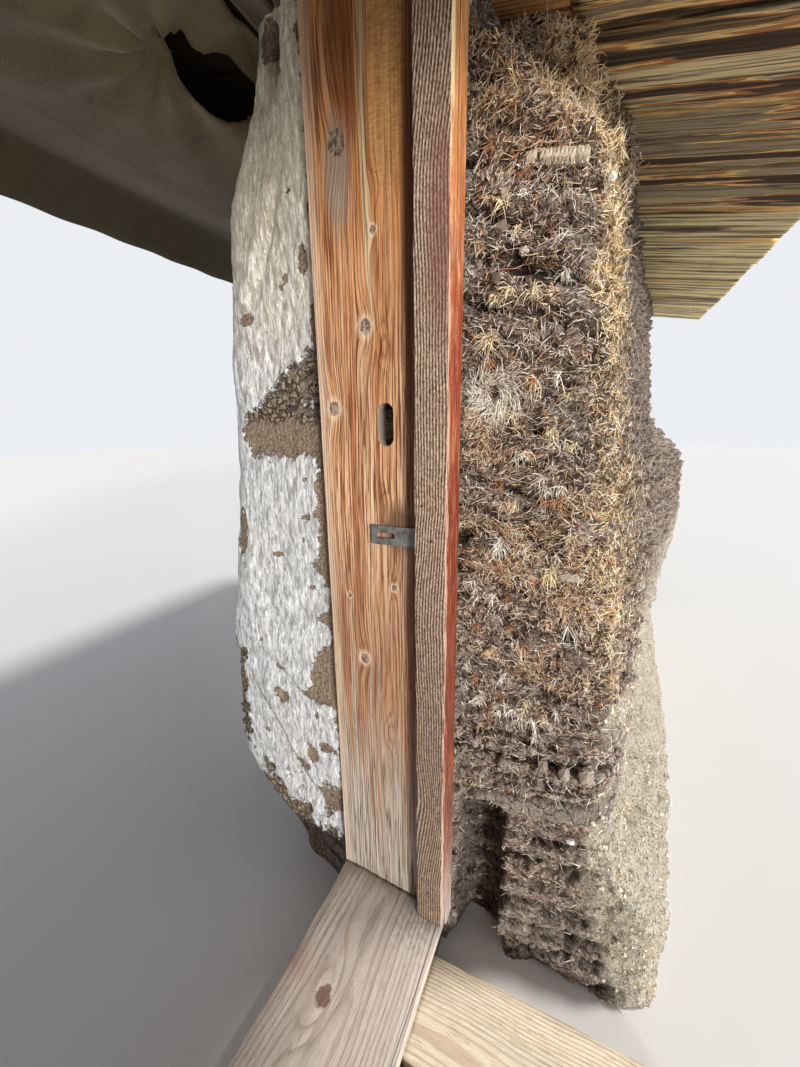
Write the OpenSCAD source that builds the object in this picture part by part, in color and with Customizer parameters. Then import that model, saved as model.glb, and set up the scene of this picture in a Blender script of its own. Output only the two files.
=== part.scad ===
// Doorway bay of a turf house: a timber door frame in a thick turf wall,
// lime plaster on the room side, and the low board roof that overhangs it.
// X runs along the wall, Y into the room, Z up. The origin is the middle of
// the doorway, at half the depth of the frame, on the ground.

/* [Doorway] */
// Clear width between the two jamb planks
opening_w = 860; // [700:10:1100]
// Depth of the jamb, sill and head planks
jamb_w = 286; // [200:1:340]
// Thickness of the jamb and head planks
jamb_t = 38; // [25:1:60]
// Width of the stop strips
stop_w = 64; // [40:1:90]
// Thickness of the stop strips
stop_t = 38; // [20:1:50]
// Thickness of the sill plank
sill_t = 40; // [25:1:60]
// Height of the bearer under the outer edge of the sill plank
bearer_h = 110; // [60:5:160]
// How much the sill falls from its room edge to its outer edge
sill_fall = 25; // [0:1:40]
// Set-back of the bearer from the edges of the sill plank
bearer_inset = 22; // [5:1:40]

/* [Lock pieces] */
// Height of the keeper plate above the outer edge of the sill plank
keeper_up = 945; // [700:5:1100]
// Length of the keeper plate
keeper_l = 105; // [80:1:140]
// Height of the keeper plate
keeper_h = 39; // [30:1:60]
// Thickness of the keeper plate
keeper_t = 3; // [2:0.5:5]
// Gap between the keeper plate and the jamb, for the bolt
keeper_gap = 8; // [5:1:15]
// Length of the slot in the keeper plate
keeper_slot_l = 40; // [20:1:50]
// Height of the slot in the keeper plate
keeper_slot_h = 11; // [6:1:16]
// Height of the bolt mortise above the outer edge of the sill plank
mortise_up = 1161; // [1150:1:1400]
// Length of the bolt mortise
mortise_l = 80; // [50:1:120]
// Width of the bolt mortise
mortise_w = 34; // [16:1:45]

/* [Turf wall] */
// Distance from the middle of the doorway to each end of the wall, at the top
wall_half = 2850; // [2400:10:3200]
// Height of one course of turves
course_h = 95; // [70:1:130]
// Set-back of the turf reveal behind the back of the jamb planks
reveal_back = 42; // [30:1:100]
// Distance from the frame to the room side of the wall, at mid height
room_face_y = 540; // [480:5:620]
// How far the wall head rounds in towards the doorway under the boards
head_round = 85; // [0:5:100]
// Outer face beside the doorway, distance from the origin at the top
near_top_y = 330; // [300:5:400]
// Outer face beside the doorway, extra thickness at the ground
near_foot = 170; // [100:5:260]
// Extra thickness of the wall at its ends, at the top
far_extra = 265; // [120:5:320]
// How far the lower half of the wall bellies out at its ends
belly = 185; // [60:5:240]
// How far the turves of one course stand out past those of the next
ragged = 14; // [0:1:24]
// Radius of the rounded outer corners of the building
corner_r = 190; // [80:5:260]
// Thickness of the end walls that join on at the corners
end_wall_t = 560; // [400:10:760]
// Reach of the end walls behind the origin
end_wall_back = 1350; // [1000:10:1700]

/* [Plaster] */
// Thickness of the mud and lime plaster
plaster_t = 28; // [12:1:45]
// Radius of the rounded plaster corner beside the doorway
plaster_r = 120; // [60:5:160]
// How far the plaster splays out between the frame and that corner
plaster_splay = 32; // [0:1:60]

/* [Roof] */
// Slope of the roof in degrees
roof_slope = 10; // [5:0.5:16]
// Underside of the roof boards above the origin
roof_z = 2064; // [1950:2:2300]
// Overhang of the roof past the ends of the wall
verge = 120; // [110:5:260]
// Reach of the eave in front of the origin
eave_reach = 874; // [700:2:1000]
// Line where the weathered eave boards meet the inner boards
board_break = 268; // [180:2:400]
// Thickness of the roof boards
board_t = 25; // [18:1:40]
// Number of eave boards
board_count = 24; // [16:1:30]
// Gap between neighbouring roof boards
board_gap = 4; // [2:0.5:8]
// Thickness of each of the two layers of roof turf
turf_t = 60; // [30:1:100]
// Set-back of the roof turf from the ends of the boards
turf_inset = 90; // [40:5:200]
// Thickness of the two lintel planks over the room side of the doorway
lintel_t = 50; // [35:5:60]
// Width of each lintel plank
lintel_w = 70; // [50:1:75]
// Bearing of the lintels on the wall at each side
lintel_seat = 290; // [200:5:400]
// Diameter of the purlin log behind the doorway
purlin_d = 130; // [90:5:180]

/* [Landing] */
// Thickness of the planks laid on the ground in front of the sill
landing_t = 48; // [25:1:58]
// Reach of the landing in front of the frame
landing_d = 520; // [300:10:800]
// Number of planks in the landing
landing_count = 4; // [2:1:6]

/* [Ceiling cloth] */
// Thickness of the space that the ceiling cloth takes
cloth_t = 6; // [4:1:12]
// Sag of the ceiling cloth between the wall head and the purlin
cloth_sag = 95; // [40:5:160]
// How far the free end of the ceiling cloth hangs down behind the purlin
cloth_fall = 150; // [60:5:200]

/* [Hidden] */
cloth_tack = 0.83;

jamb_x = opening_w / 2;                  // face of each jamb towards the opening
jamb_back_x = jamb_x + jamb_t;           // back of each jamb, against the turf
front_y = -jamb_w / 2;                   // outer edge of the frame
back_y = jamb_w / 2;                     // room edge of the frame
sill_top = bearer_h + sill_t;            // at the outer edge
mortise_y = -5;                          // bolt mortise, from the middle of the jamb
reveal_x = jamb_back_x + reveal_back;    // turf reveal outside the frame
tongue_in = 10;                          // turf behind a jamb stops short of its outer edge
room_half = wall_half - end_wall_t;      // plastered face of each end wall
roof_half = wall_half + verge;
split_y = room_face_y - 60;              // where each end wall joins the front wall
course_count = ceil(roof_under(end_wall_back) / course_h);
lift_ends = [for (s = [0, 0.17, 0.37, 0.57, 0.75, 1]) floor(s * course_count)];
face_steps = 10;                         // outline points along the outer face
arc_steps = 5;                           // outline points round a corner
arris_r = 70;                            // worn arris beside the doorway
cove = 70;                               // filled corner between front and end wall
fallen_back = 170;                       // how far the top turves have fallen back
head_z = 1750;                           // where the wall head starts to round in
head_rise = 330;                         // height over which it does so

// Underside of the roof boards above a point at depth y
function roof_under(y) = roof_z + tan(roof_slope) * y;

// A repeatable value from -1 to 1 for a course or a piece
function jog(i, seed) = sin(i * 137.5 + seed * 71.3) * cos(i * 59.7 + seed * 23.1);

function clamp01(v) = min(1, max(0, v));
function smooth(v) = let (c = clamp01(v)) c * c * (3 - 2 * c);

// Distance of the outer face from the origin beside the doorway, with its batter
function near_y(z) = near_top_y + near_foot * (1 - z / roof_z);

// What the outer face gains towards the ends, with a belly below mid height
function gain_y(z) = far_extra
  + belly * (smooth((z / roof_z - 0.22) / 0.17) - smooth((z / roof_z - 0.53) / 0.145));

// How the gain builds up along the wall: at once at the washed foot, late under the eave
function gain_power(z) = 0.25 + 0.6 * smooth((z / roof_z - 0.12) / 0.12)
  + 0.15 * clamp01((z / roof_z - 0.24) / 0.19) + 0.4 * clamp01((z / roof_z - 0.68) / 0.19);

// The top turves beside the doorway have fallen back from under the boards
function fallen(z) = clamp01((z / roof_z - 0.9) / 0.03);

// Outer face of one side, always on the -Y side
function outer_y(x, z, seed) =
  let (t = clamp01((x - reveal_x) / (wall_half - reveal_x)))
  -(near_y(z) + gain_y(z) * pow(t, gain_power(z)) - 110 * fallen(z) * clamp01(1 - 5 * t)
    + 10 * sin(x * 0.31 + z * 0.17 + seed * 90) + 7 * sin(x * 0.83 - z * 0.29 + seed * 40));

// Outer face of an end wall
function end_x(z) = wall_half + 80 * (1 - z / roof_z) + 12 * sin(z * 0.25);

// Room side of the front wall, as the surface of the plaster
function room_y(z) = room_face_y - 30 - 0.108 * (z - 1260)
  + 30 * exp(-pow((z - 600) / 250, 2)) - 230 * exp(-pow(z / 200, 2))
  - head_round * smooth((z - head_z) / head_rise);

// Room-side outline from the frame round the corner and along the end wall.
// inset is 0 on the plaster surface and plaster_t on the turf behind it.
function room_path(z, inset, y_end) =
  let (px = jamb_back_x - 10 + inset, cx = jamb_back_x - 10 + plaster_splay + plaster_r,
       py = room_y(z) - inset, cy = room_y(z) - plaster_r, r = plaster_r - inset)
  concat([[px, back_y]],
    [for (i = [0 : arc_steps]) let (a = 180 - 90 * i / arc_steps)
      [cx + r * cos(a), cy + r * sin(a)]],
    [[room_half + inset - cove, py], [room_half + inset, py + cove]],
    y_end > py + cove + 1 ? [[room_half + inset, y_end]] : []);

function reverse_path(p) = [for (i = [len(p) - 1 : -1 : 0]) p[i]];

// Outline of the turf of the right-hand front wall in course k
function course_outline(k, seed) =
  let (z = (k + 0.5) * course_h, j = ragged * jog(k, seed),
       xr = reveal_x + ragged * jog(k, seed + 3) + fallen_back * fallen(z),
       x0 = xr + arris_r, ex = end_x(z) + 0.6 * j, x1 = ex - corner_r,
       y0 = outer_y(x0, z, seed) - j, y1 = outer_y(x1, z, seed) - j)
  concat(
    [[jamb_back_x, back_y], [jamb_back_x, front_y + tongue_in], [xr, front_y + tongue_in]],
    [for (i = [0 : arc_steps]) let (a = 180 + 90 * i / arc_steps)
      [xr + arris_r + arris_r * cos(a), y0 + arris_r + arris_r * sin(a)]],
    [for (i = [1 : face_steps - 1]) let (x = x0 + ragged + (x1 - x0 - ragged) * i / face_steps)
      [x, outer_y(x, z, seed) - j]],
    [for (i = [0 : arc_steps]) let (a = -90 + 90 * i / arc_steps)
      [x1 + corner_r * cos(a), y1 + corner_r + corner_r * sin(a)]],
    [[ex, split_y], [room_half + plaster_t, split_y]],
    reverse_path(room_path(z, plaster_t, 0)));

// One side of the front wall, courses first to last, before the roof cut
module courses(first, last, seed) {
  for (k = [first : last - 1])
    translate([0, 0, k * course_h])
      linear_extrude(height = course_h) polygon(course_outline(k, seed));
}

// Places children in the frame of the sloping roof boards
module on_roof() {
  translate([0, 0, roof_z]) rotate([roof_slope, 0, 0]) children();
}
function along(y) = y / cos(roof_slope);   // distance up the slope for a depth y

// Everything above the underside of the roof boards
module roof_space(drop = 0) {
  on_roof()
    translate([-2 * wall_half, -2 * wall_half, -drop])
      cube([4 * wall_half, 4 * wall_half, 2 * roof_z]);
}

module for_side(side) { mirror([side < 0 ? 1 : 0, 0, 0]) children(); }

// Hollow washed out of the foot of the turf beside the right-hand jamb
module hollow() {
  r = 62;
  translate([reveal_x, front_y - 70, -1]) cylinder(r = r, h = 400);
  translate([reveal_x, front_y - 70, 399]) sphere(r = r);
}

// Pocket for the bolt in the turf behind the mortise of the right-hand jamb
module bolt_pocket() {
  translate([jamb_back_x - 1, mortise_y, sill_top + mortise_up])
    rotate([0, 90, 0]) slot(mortise_l, mortise_w, 50);
}

module wall_lift(side, lift, seed) {
  color("saddlebrown")
    for_side(side)
      difference() {
        courses(lift_ends[lift], lift_ends[lift + 1], seed);
        if (lift_ends[lift + 1] * course_h > roof_under(-eave_reach)) roof_space();
        if (lift_ends[lift + 1] * course_h > roof_z - 2 * lintel_t) lintel_seats();
        if (side > 0 && lift < 2) hollow();
        if (side > 0 && lift > 1) bolt_pocket();
      }
}

module left_wall_foot() { wall_lift(-1, 0, 5); }
module left_wall_lower() { wall_lift(-1, 1, 5); }
module left_wall_middle() { wall_lift(-1, 2, 5); }
module left_wall_upper() { wall_lift(-1, 3, 5); }
module left_wall_top() { wall_lift(-1, 4, 5); }
module right_wall_foot() { wall_lift(1, 0, 1); }
module right_wall_lower() { wall_lift(1, 1, 1); }
module right_wall_middle() { wall_lift(1, 2, 1); }
module right_wall_upper() { wall_lift(1, 3, 1); }
module right_wall_top() { wall_lift(1, 4, 1); }

// Stub of an end wall, cut off square where the model ends
module end_wall(side, seed) {
  color("saddlebrown")
    for_side(side)
      difference() {
        for (k = [0 : course_count - 1]) {
          ex = end_x((k + 0.5) * course_h) + 0.6 * ragged * jog(k, seed);
          translate([0, 0, k * course_h])
            linear_extrude(height = course_h)
              polygon([[room_half + plaster_t, split_y], [ex, split_y],
                [ex + 0.5 * ragged * jog(k, seed + 5), end_wall_back],
                [room_half + plaster_t, end_wall_back]]);
        }
        roof_space();
        purlin();
      }
}
module left_end_wall() { end_wall(-1, 5); }
module right_end_wall() { end_wall(1, 1); }

// Plaster of one side: a coat of even thickness over the turf of each course
module plaster(side) {
  color("ivory")
    for_side(side)
      difference() {
        for (k = [0 : course_count - 1])
          translate([0, 0, k * course_h])
            linear_extrude(height = course_h)
              polygon(concat(room_path((k + 0.5) * course_h, 0, end_wall_back),
                reverse_path(room_path((k + 0.5) * course_h, plaster_t, end_wall_back))));
        roof_space();
        lintel_seats();
        purlin();
      }
}
module left_plaster() { plaster(-1); }
module right_plaster() { plaster(1); }

// Top of the bearer at depth y, which gives the sill its fall
function bearer_top(y) = bearer_h + sill_fall * (y - front_y) / jamb_w;

// A piece with this outline in depth and height, run along the wall from x
module across(x, run, outline) {
  translate([x, 0, 0]) rotate([90, 0, 90]) linear_extrude(height = run) polygon(outline);
}

// The timber frame: jambs on the bearer, sill between them, head under the boards
module jamb_blank() {
  across(jamb_x, jamb_t, [[front_y, bearer_top(front_y)], [back_y, bearer_top(back_y)],
    [back_y, roof_under(back_y)], [front_y, roof_under(front_y)]]);
}
module jamb_left() { color("peru") mirror([1, 0, 0]) jamb_blank(); }
module jamb_right() {
  color("peru")
    difference() {
      jamb_blank();
      translate([jamb_x - 1, mortise_y, sill_top + mortise_up])
        rotate([0, 90, 0]) slot(mortise_l, mortise_w, jamb_t + 2);
    }
}

// A slot with round ends, long along X, cut along Z
module slot(length, width, depth) {
  run = (length - width) / 2;
  union() {
    for (s = [-1, 1]) translate([s * run, 0, 0]) cylinder(d = width, h = depth, $fn = 48);
    translate([-run, -width / 2, 0]) cube([2 * run, width, depth]);
  }
}

// Strips that the door closes against, from the sill up to the head plank
module stop_blank() {
  y1 = front_y + stop_w;
  head_t = along(jamb_t);
  across(jamb_x - stop_t, stop_t, [[front_y, bearer_top(front_y) + sill_t],
    [y1, bearer_top(y1) + sill_t], [y1, roof_under(y1) - head_t],
    [front_y, roof_under(front_y) - head_t]]);
}
module stop_left() { color("rosybrown") mirror([1, 0, 0]) stop_blank(); }
module stop_right() { color("rosybrown") stop_blank(); }

module head_plank() {
  color("peru")
    on_roof()
      translate([-jamb_x, along(front_y), -jamb_t])
        cube([opening_w, along(jamb_w), jamb_t]);
}
module stop_head() {
  color("rosybrown")
    on_roof()
      translate([-jamb_x + stop_t, along(front_y), -jamb_t - stop_t])
        cube([opening_w - 2 * stop_t, stop_w, stop_t]);
}
module sill_plank() {
  color("tan")
    across(-jamb_x, opening_w, [[front_y, bearer_top(front_y)], [back_y, bearer_top(back_y)],
      [back_y, bearer_top(back_y) + sill_t], [front_y, bearer_top(front_y) + sill_t]]);
}
module sill_bearer() {
  y0 = front_y + bearer_inset;
  color("dimgray")
    across(-jamb_back_x, 2 * jamb_back_x,
      [[y0, 0], [-y0, 0], [-y0, bearer_top(-y0)], [y0, bearer_top(y0)]]);
}

// Steel keeper: a slotted plate that stands off the jamb on two folded feet
module keeper_plate() {
  color("slategray")
    translate([jamb_x - keeper_gap - keeper_t, front_y + stop_w,
      sill_top + keeper_up - keeper_h / 2])
      difference() {
        union() {
          cube([keeper_t, keeper_l, keeper_h]);
          for (y = [0, keeper_l - keeper_t])
            translate([0, y, 0]) cube([keeper_t + keeper_gap, keeper_t, keeper_h]);
        }
        translate([-1, keeper_l - 12 - keeper_slot_l / 2, keeper_h / 2])
          rotate([0, 90, 0]) rotate([0, 0, 90]) slot(keeper_slot_l, keeper_slot_h, keeper_t + 2);
      }
}

// Planks laid on the ground in front of the sill, pushed in under its edge
module landing_planks() {
  gap = 6;
  pitch = (opening_w - 60 + gap) / landing_count;
  color("burlywood")
    for (i = [0 : landing_count - 1]) {
      reach = landing_d + bearer_inset + 18 * jog(i, 2);
      translate([-(opening_w - 60) / 2 + i * pitch, front_y + bearer_inset - reach, 0])
        cube([pitch - gap, reach, landing_t]);
    }
}

// Lintel planks laid flat on the wall head over the room side of the doorway
module lintel(y) {
  half = jamb_back_x + lintel_seat;
  on_roof() translate([-half, y, -lintel_t]) cube([2 * half, lintel_w, lintel_t]);
}
lintel_out_y = back_y + 12;
lintel_in_y = lintel_out_y + lintel_w + 10;
module lintel_seats() {
  lintel(lintel_out_y);
  lintel(lintel_in_y);
}
module lintel_outer() { color("sienna") lintel(lintel_out_y); }
module lintel_inner() { color("sienna") lintel(lintel_in_y); }

// Log that carries the inner ends of the boards, hewn flat where they lie on it
module purlin() {
  y = end_wall_back - purlin_d;
  half = room_half + 220;
  difference() {
    translate([-half, y, roof_under(y) - (purlin_d / 2 - 8) / cos(roof_slope)])
      rotate([0, 90, 0]) cylinder(d = purlin_d, h = 2 * half);
    roof_space();
  }
}
module purlin_log() { color("sienna") purlin(); }

// Roof boards side by side between two depths, eave ends uneven
module boards(count, first, last, y0, y1, uneven) {
  pitch = 2 * roof_half / count;
  on_roof()
    for (i = [first : last]) {
      start = along(y0) - uneven * (1 + jog(i, 4));
      translate([-roof_half + i * pitch + board_gap / 2, start, 0])
        cube([pitch - board_gap, along(y1) - start, board_t]);
    }
}
module eave_boards(first, last) {
  color("darkgray") boards(board_count, first, last, -eave_reach, -board_break, 8);
}
module inner_boards(first, last) {
  color("darkkhaki") boards(inner_count, first, last, -board_break, end_wall_back + 20, 0);
}
inner_count = board_count + 2;
eave_third = floor(board_count / 3);
inner_third = floor(inner_count / 3);
module eave_boards_left() { eave_boards(0, eave_third - 1); }
module eave_boards_middle() { eave_boards(eave_third, board_count - eave_third - 1); }
module eave_boards_right() { eave_boards(board_count - eave_third, board_count - 1); }
module inner_boards_left() { inner_boards(0, inner_third - 1); }
module inner_boards_middle() { inner_boards(inner_third, inner_count - inner_third - 1); }
module inner_boards_right() { inner_boards(inner_count - inner_third, inner_count - 1); }

// One layer of turf on the boards, feathered towards the eave
module turf_layer(level, inset) {
  y0 = along(-eave_reach) + inset;
  y1 = along(end_wall_back);
  on_roof() translate([-roof_half + inset, 0, board_t + level * turf_t])
    rotate([90, 0, 90])
      linear_extrude(height = 2 * (roof_half - inset))
        polygon([[y0, 0], [y1, 0], [y1, turf_t], [y0 + 35, turf_t], [y0 + 12, turf_t * 0.6]]);
}
module roof_turf_lower() { color("saddlebrown") turf_layer(0, turf_inset); }
module roof_turf_upper() { color("olivedrab") turf_layer(1, turf_inset + 40); }

// Muslin tacked to the wall head and to the underside of the purlin, its free end hanging behind it
function cloth_line(t) =
  let (y0 = room_y(roof_z) + 30, y1 = end_wall_back - purlin_d, y2 = end_wall_back - cloth_t,
       s = clamp01(t / cloth_tack), q = clamp01((t - cloth_tack) / (1 - cloth_tack)),
       y = y0 + (y1 - y0) * s + (y2 - y1) * q)
  [y, roof_under(y) - 2 - (purlin_d + 8) * s - cloth_sag * sin(180 * s) - cloth_fall * pow(q, 1.6)];
module ceiling_cloth() {
  stops = [0, 0.05, 0.12, 0.2, 0.3, 0.4, 0.5, 0.6, 0.7, 0.78, cloth_tack, 0.88, 0.92, 0.96, 1];
  color("beige")
    translate([-room_half + 12, 0, 0])
      rotate([90, 0, 90])
        linear_extrude(height = 2 * room_half - 24)
          polygon(concat([for (t = stops) cloth_line(t)],
            [for (t = reverse_path(stops)) cloth_line(t) - [0, cloth_t]]));
}

jamb_left();
jamb_right();
head_plank();
stop_left();
stop_right();
stop_head();
sill_plank();
sill_bearer();
keeper_plate();
landing_planks();
left_wall_foot();
left_wall_lower();
left_wall_middle();
left_wall_upper();
left_wall_top();
right_wall_foot();
right_wall_lower();
right_wall_middle();
right_wall_upper();
right_wall_top();
left_end_wall();
right_end_wall();
left_plaster();
right_plaster();
lintel_outer();
lintel_inner();
purlin_log();
eave_boards_left();
eave_boards_middle();
eave_boards_right();
inner_boards_left();
inner_boards_middle();
inner_boards_right();
roof_turf_lower();
roof_turf_upper();
ceiling_cloth();
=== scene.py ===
"""Doorway bay of a turf house: laid turves, a pine door frame, mud and limewash, boards and muslin.

Every shape is in metres in the row frame: X along the wall, Y into the room, Z up.
"""

import math

import bpy
import numpy as np
from mathutils import Matrix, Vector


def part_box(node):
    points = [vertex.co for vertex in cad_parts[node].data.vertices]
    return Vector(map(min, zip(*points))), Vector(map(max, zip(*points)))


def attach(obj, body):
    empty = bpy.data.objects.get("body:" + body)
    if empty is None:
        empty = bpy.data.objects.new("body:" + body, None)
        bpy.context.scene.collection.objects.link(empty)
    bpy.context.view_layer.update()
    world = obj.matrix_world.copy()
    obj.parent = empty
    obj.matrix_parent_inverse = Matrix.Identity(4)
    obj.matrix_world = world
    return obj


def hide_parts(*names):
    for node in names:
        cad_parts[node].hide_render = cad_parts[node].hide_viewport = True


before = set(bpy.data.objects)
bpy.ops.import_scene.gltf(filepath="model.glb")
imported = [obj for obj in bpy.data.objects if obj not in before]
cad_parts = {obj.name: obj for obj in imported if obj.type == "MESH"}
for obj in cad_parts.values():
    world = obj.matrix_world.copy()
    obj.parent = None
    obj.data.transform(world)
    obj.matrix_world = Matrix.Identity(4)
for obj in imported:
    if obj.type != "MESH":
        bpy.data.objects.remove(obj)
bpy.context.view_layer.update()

# Camera. It stands in the doorway, close to the left jamb, at the height of a held-up phone,
# and looks at the right-hand jamb and the turf beside it, turned inwards and tipped down.
jamb_low, jamb_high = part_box("jamb_right")
eye = (jamb_low.x - 0.74, jamb_low.y - 0.235, 1.305)
look_right = (0.4195, -0.9077, -0.0142)
look_up = (0.2276, 0.09, 0.9696)
look_back = (-0.8788, -0.4099, 0.2443)
camera_data = bpy.data.cameras.new("camera")
camera_data.sensor_width = 36
photo_px, focal_px = 1067, 419
camera_data.lens = camera_data.sensor_width * focal_px / photo_px
camera_data.clip_start = 0.02
camera = bpy.data.objects.new("camera", camera_data)
camera.matrix_world = Matrix.Translation(eye) @ Matrix(
    (look_right, look_up, look_back)
).transposed().to_4x4()
bpy.context.scene.collection.objects.link(camera)
bpy.context.scene.camera = camera


# Floor and light. A pale floor that the building stands on, an even pale sky, a high lamp from
# outside and the right, which the eave shades off the upper wall, and a low soft fill lamp.
bench = []  # node trees; the last one is the tree that new nodes go into


class Wire:
    """What a node puts out. A sum, difference, product or quotient of wires, numbers and
    vectors adds the maths node that works it out."""

    def __init__(self, socket):
        self.socket = socket

    def __add__(self, other):
        return maths("ADD", self, other)

    def __sub__(self, other):
        return maths("SUBTRACT", self, other)

    def __rsub__(self, other):
        return maths("SUBTRACT", other, self)

    def __mul__(self, other):
        return maths("MULTIPLY", self, other)

    def __truediv__(self, other):
        return maths("DIVIDE", self, other)

    def __abs__(self):
        return maths("ABSOLUTE", self)


def feed(socket, value):
    """Links a wire to a socket, or sets the socket to a plain value."""
    if isinstance(value, Wire):
        bench[-1].links.new(value.socket, socket)
    else:
        socket.default_value = value


def add(kind, inputs=None, out=0, **settings):
    """Adds a shader node, sets its fields, feeds its inputs and gives one of its outputs."""
    made = bench[-1].nodes.new("ShaderNode" + kind)
    for key, value in settings.items():
        setattr(made, key, value)
    for key, value in (inputs or {}).items():
        feed(made.inputs[key], value)
    return Wire(made.outputs[out])


def maths(operation, *values):
    """A maths node, of the vector kind if any of its values is a vector or a colour."""
    wires = [v.socket.type for v in values if isinstance(v, Wire)]
    vectors = any(kind != "VALUE" for kind in wires) or any(isinstance(v, tuple) for v in values)
    out = 1 if operation in ("LENGTH", "DISTANCE") else 0
    return add("VectorMath" if vectors else "Math", dict(enumerate(values)), out, operation=operation)


def plain_surface(name):
    """A material, with its tree put on the bench, its Principled shader and the object's place."""
    material = bpy.data.materials.new(name)
    material.use_nodes = True
    bench.append(material.node_tree)
    return material, material.node_tree.nodes["Principled BSDF"], add("TexCoord", out="Object")


def coat(shader, fields, bump=None):
    """Feeds the shader's fields; bump is (height, strength, depth in metres)."""
    for key, value in fields.items():
        feed(shader.inputs[key], value)
    if bump:
        height, strength, depth = bump
        bumps = add("Bump", {"Height": height, "Strength": strength, "Distance": depth})
        feed(shader.inputs["Normal"], bumps)


floor_mesh = bpy.data.meshes.new("floor")
floor_mesh.from_pydata([(-30, -30, 0), (30, -30, 0), (30, 30, 0), (-30, 30, 0)], [], [(0, 1, 2, 3)])
floor = bpy.data.objects.new("floor", floor_mesh)
bpy.context.scene.collection.objects.link(floor)
floor_look, floor_shader, _ = plain_surface("pale_floor")
floor_tone = add("MapRange", {"Value": add("TexNoise", {"Scale": 3.0}), "To Min": 0.58, "To Max": 0.63})
coat(floor_shader, {"Base Color": floor_tone, "Roughness": 0.9})
floor_mesh.materials.append(floor_look)

sky = bpy.data.worlds.new("sky")
sky.use_nodes = True
bench.append(sky.node_tree)
background = sky.node_tree.nodes["Background"].inputs
feed(background["Color"], (0.93, 0.95, 1.0, 1))
feed(background["Strength"], maths("MULTIPLY_ADD", add("LightPath", out="Is Camera Ray"), 0.28, 0.62))
bpy.context.scene.world = sky
for word, energy, angle, tip, turn in (("high", 2.7, 9, 30, 28), ("fill", 4.1, 14, 84, -44)):
    lamp_data = bpy.data.lights.new(f"{word}_lamp", "SUN")
    lamp_data.energy = energy
    lamp_data.angle = math.radians(angle)
    lamp_data.color = (1.0, 0.96, 0.9)
    lamp = bpy.data.objects.new(f"{word}_lamp", lamp_data)
    lamp.rotation_euler = (math.radians(tip), 0, math.radians(turn))
    bpy.context.scene.collection.objects.link(lamp)
bpy.context.scene.view_settings.view_transform = "Standard"

# Sill bearer and sill. A baulk bedded on the ground carries a pine plank that falls outwards;
# the plank is nailed down and feet have worn its middle hollow.
rng = np.random.default_rng(11)
jamb_back = jamb_high.x
front_y, back_y = jamb_low.y, jamb_high.y


def ease(v):
    """0 below 0, 1 above 1, and a smooth rise between."""
    c = np.clip(v, 0, 1)
    return c * c * (3 - 2 * c)


def bell(v, middle, width):
    """1 at the middle, falling off on both sides: e to the power of minus the square of the
    distance over the width."""
    return np.exp(-(((v - middle) / width) ** 2))


def lattice(points, cell, seed):
    """Value noise from -1 to 1: hashed values at the corners of cubes, eased between them."""
    q = np.asarray(points) / cell
    corner = np.floor(q).astype(np.int64)
    f = ease(q - corner)
    total = np.zeros(q.shape[:-1])
    for step in np.ndindex(2, 2, 2):
        key = (corner + step) * np.array([73856093, 19349663, 83492791])
        h = key[..., 0] ^ key[..., 1] ^ key[..., 2] ^ (seed * 83492777)
        h = ((h ^ (h >> 13)) * 1274126177) & 0x7FFFFFFF
        h = ((h ^ (h >> 15)) * 1911520717) & 0x7FFFFFFF
        weight = np.prod(np.where(step, f, 1 - f), axis=-1)
        total += weight * (((h >> 7) & 0xFFFF) / 32767.5 - 1)
    return total


def layered(points, cell, seed, layers=3):
    """Noise at several sizes, each half the size and half the strength of the one before."""
    return sum(lattice(points, cell / 2**i, seed + 17 * i) / 2**i for i in range(layers))


def joined(*parts):
    """Parts of one shape, or that spread to one, side by side along a new last axis."""
    return np.stack(np.broadcast_arrays(*parts), -1)


def unit(vectors):
    """Vectors over their own lengths."""
    return vectors / np.maximum(np.linalg.norm(vectors, axis=1, keepdims=True), 1e-9)


def make_mesh(name, points, *face_sets, smooth=True):
    """A mesh object riding on the building, from points and arrays of faces by corner count."""
    counts = np.concatenate([np.full(len(f), f.shape[1]) for f in face_sets])
    corners = np.concatenate([f.ravel() for f in face_sets])
    mesh = bpy.data.meshes.new(name)
    points = np.ascontiguousarray(points, np.float32).reshape(-1, 3)
    mesh.vertices.add(len(points))
    mesh.vertices.foreach_set("co", points.ravel())
    mesh.loops.add(len(corners))
    mesh.loops.foreach_set("vertex_index", corners.astype(np.int32))
    mesh.polygons.add(len(counts))
    starts = np.concatenate([[0], np.cumsum(counts)[:-1]])
    mesh.polygons.foreach_set("loop_start", starts.astype(np.int32))
    mesh.polygons.foreach_set("use_smooth", np.full(len(counts), smooth))
    mesh.update(calc_edges=True)
    made = bpy.data.objects.new(name, mesh)
    bpy.context.scene.collection.objects.link(made)
    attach(made, "root")
    return made


def tint(piece, name, values):
    """Stores up to three values a point as a colour attribute that the material reads."""
    rgba = np.ones((len(piece.data.vertices), 4), np.float32)
    rgba[:, : values.shape[-1]] = values.reshape(-1, values.shape[-1])
    layer = piece.data.attributes.new(name, "FLOAT_COLOR", "POINT")
    layer.data.foreach_set("color", rgba.ravel())


def ring_faces(rows, columns, flip=False):
    """Quads of a closed ring of columns carried up the rows, and the two end caps."""
    i, j = np.meshgrid(np.arange(rows - 1), np.arange(columns), indexing="ij")
    k = (j + 1) % columns
    quads = joined(i * columns + j, i * columns + k, (i + 1) * columns + k, (i + 1) * columns + j)
    quads = quads.reshape(-1, 4)
    low = np.arange(columns)[::-1][None]
    high = ((rows - 1) * columns + np.arange(columns))[None]
    if flip:
        quads, low, high = quads[:, ::-1], low[:, ::-1], high[:, ::-1]
    return quads, low, high


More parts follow.
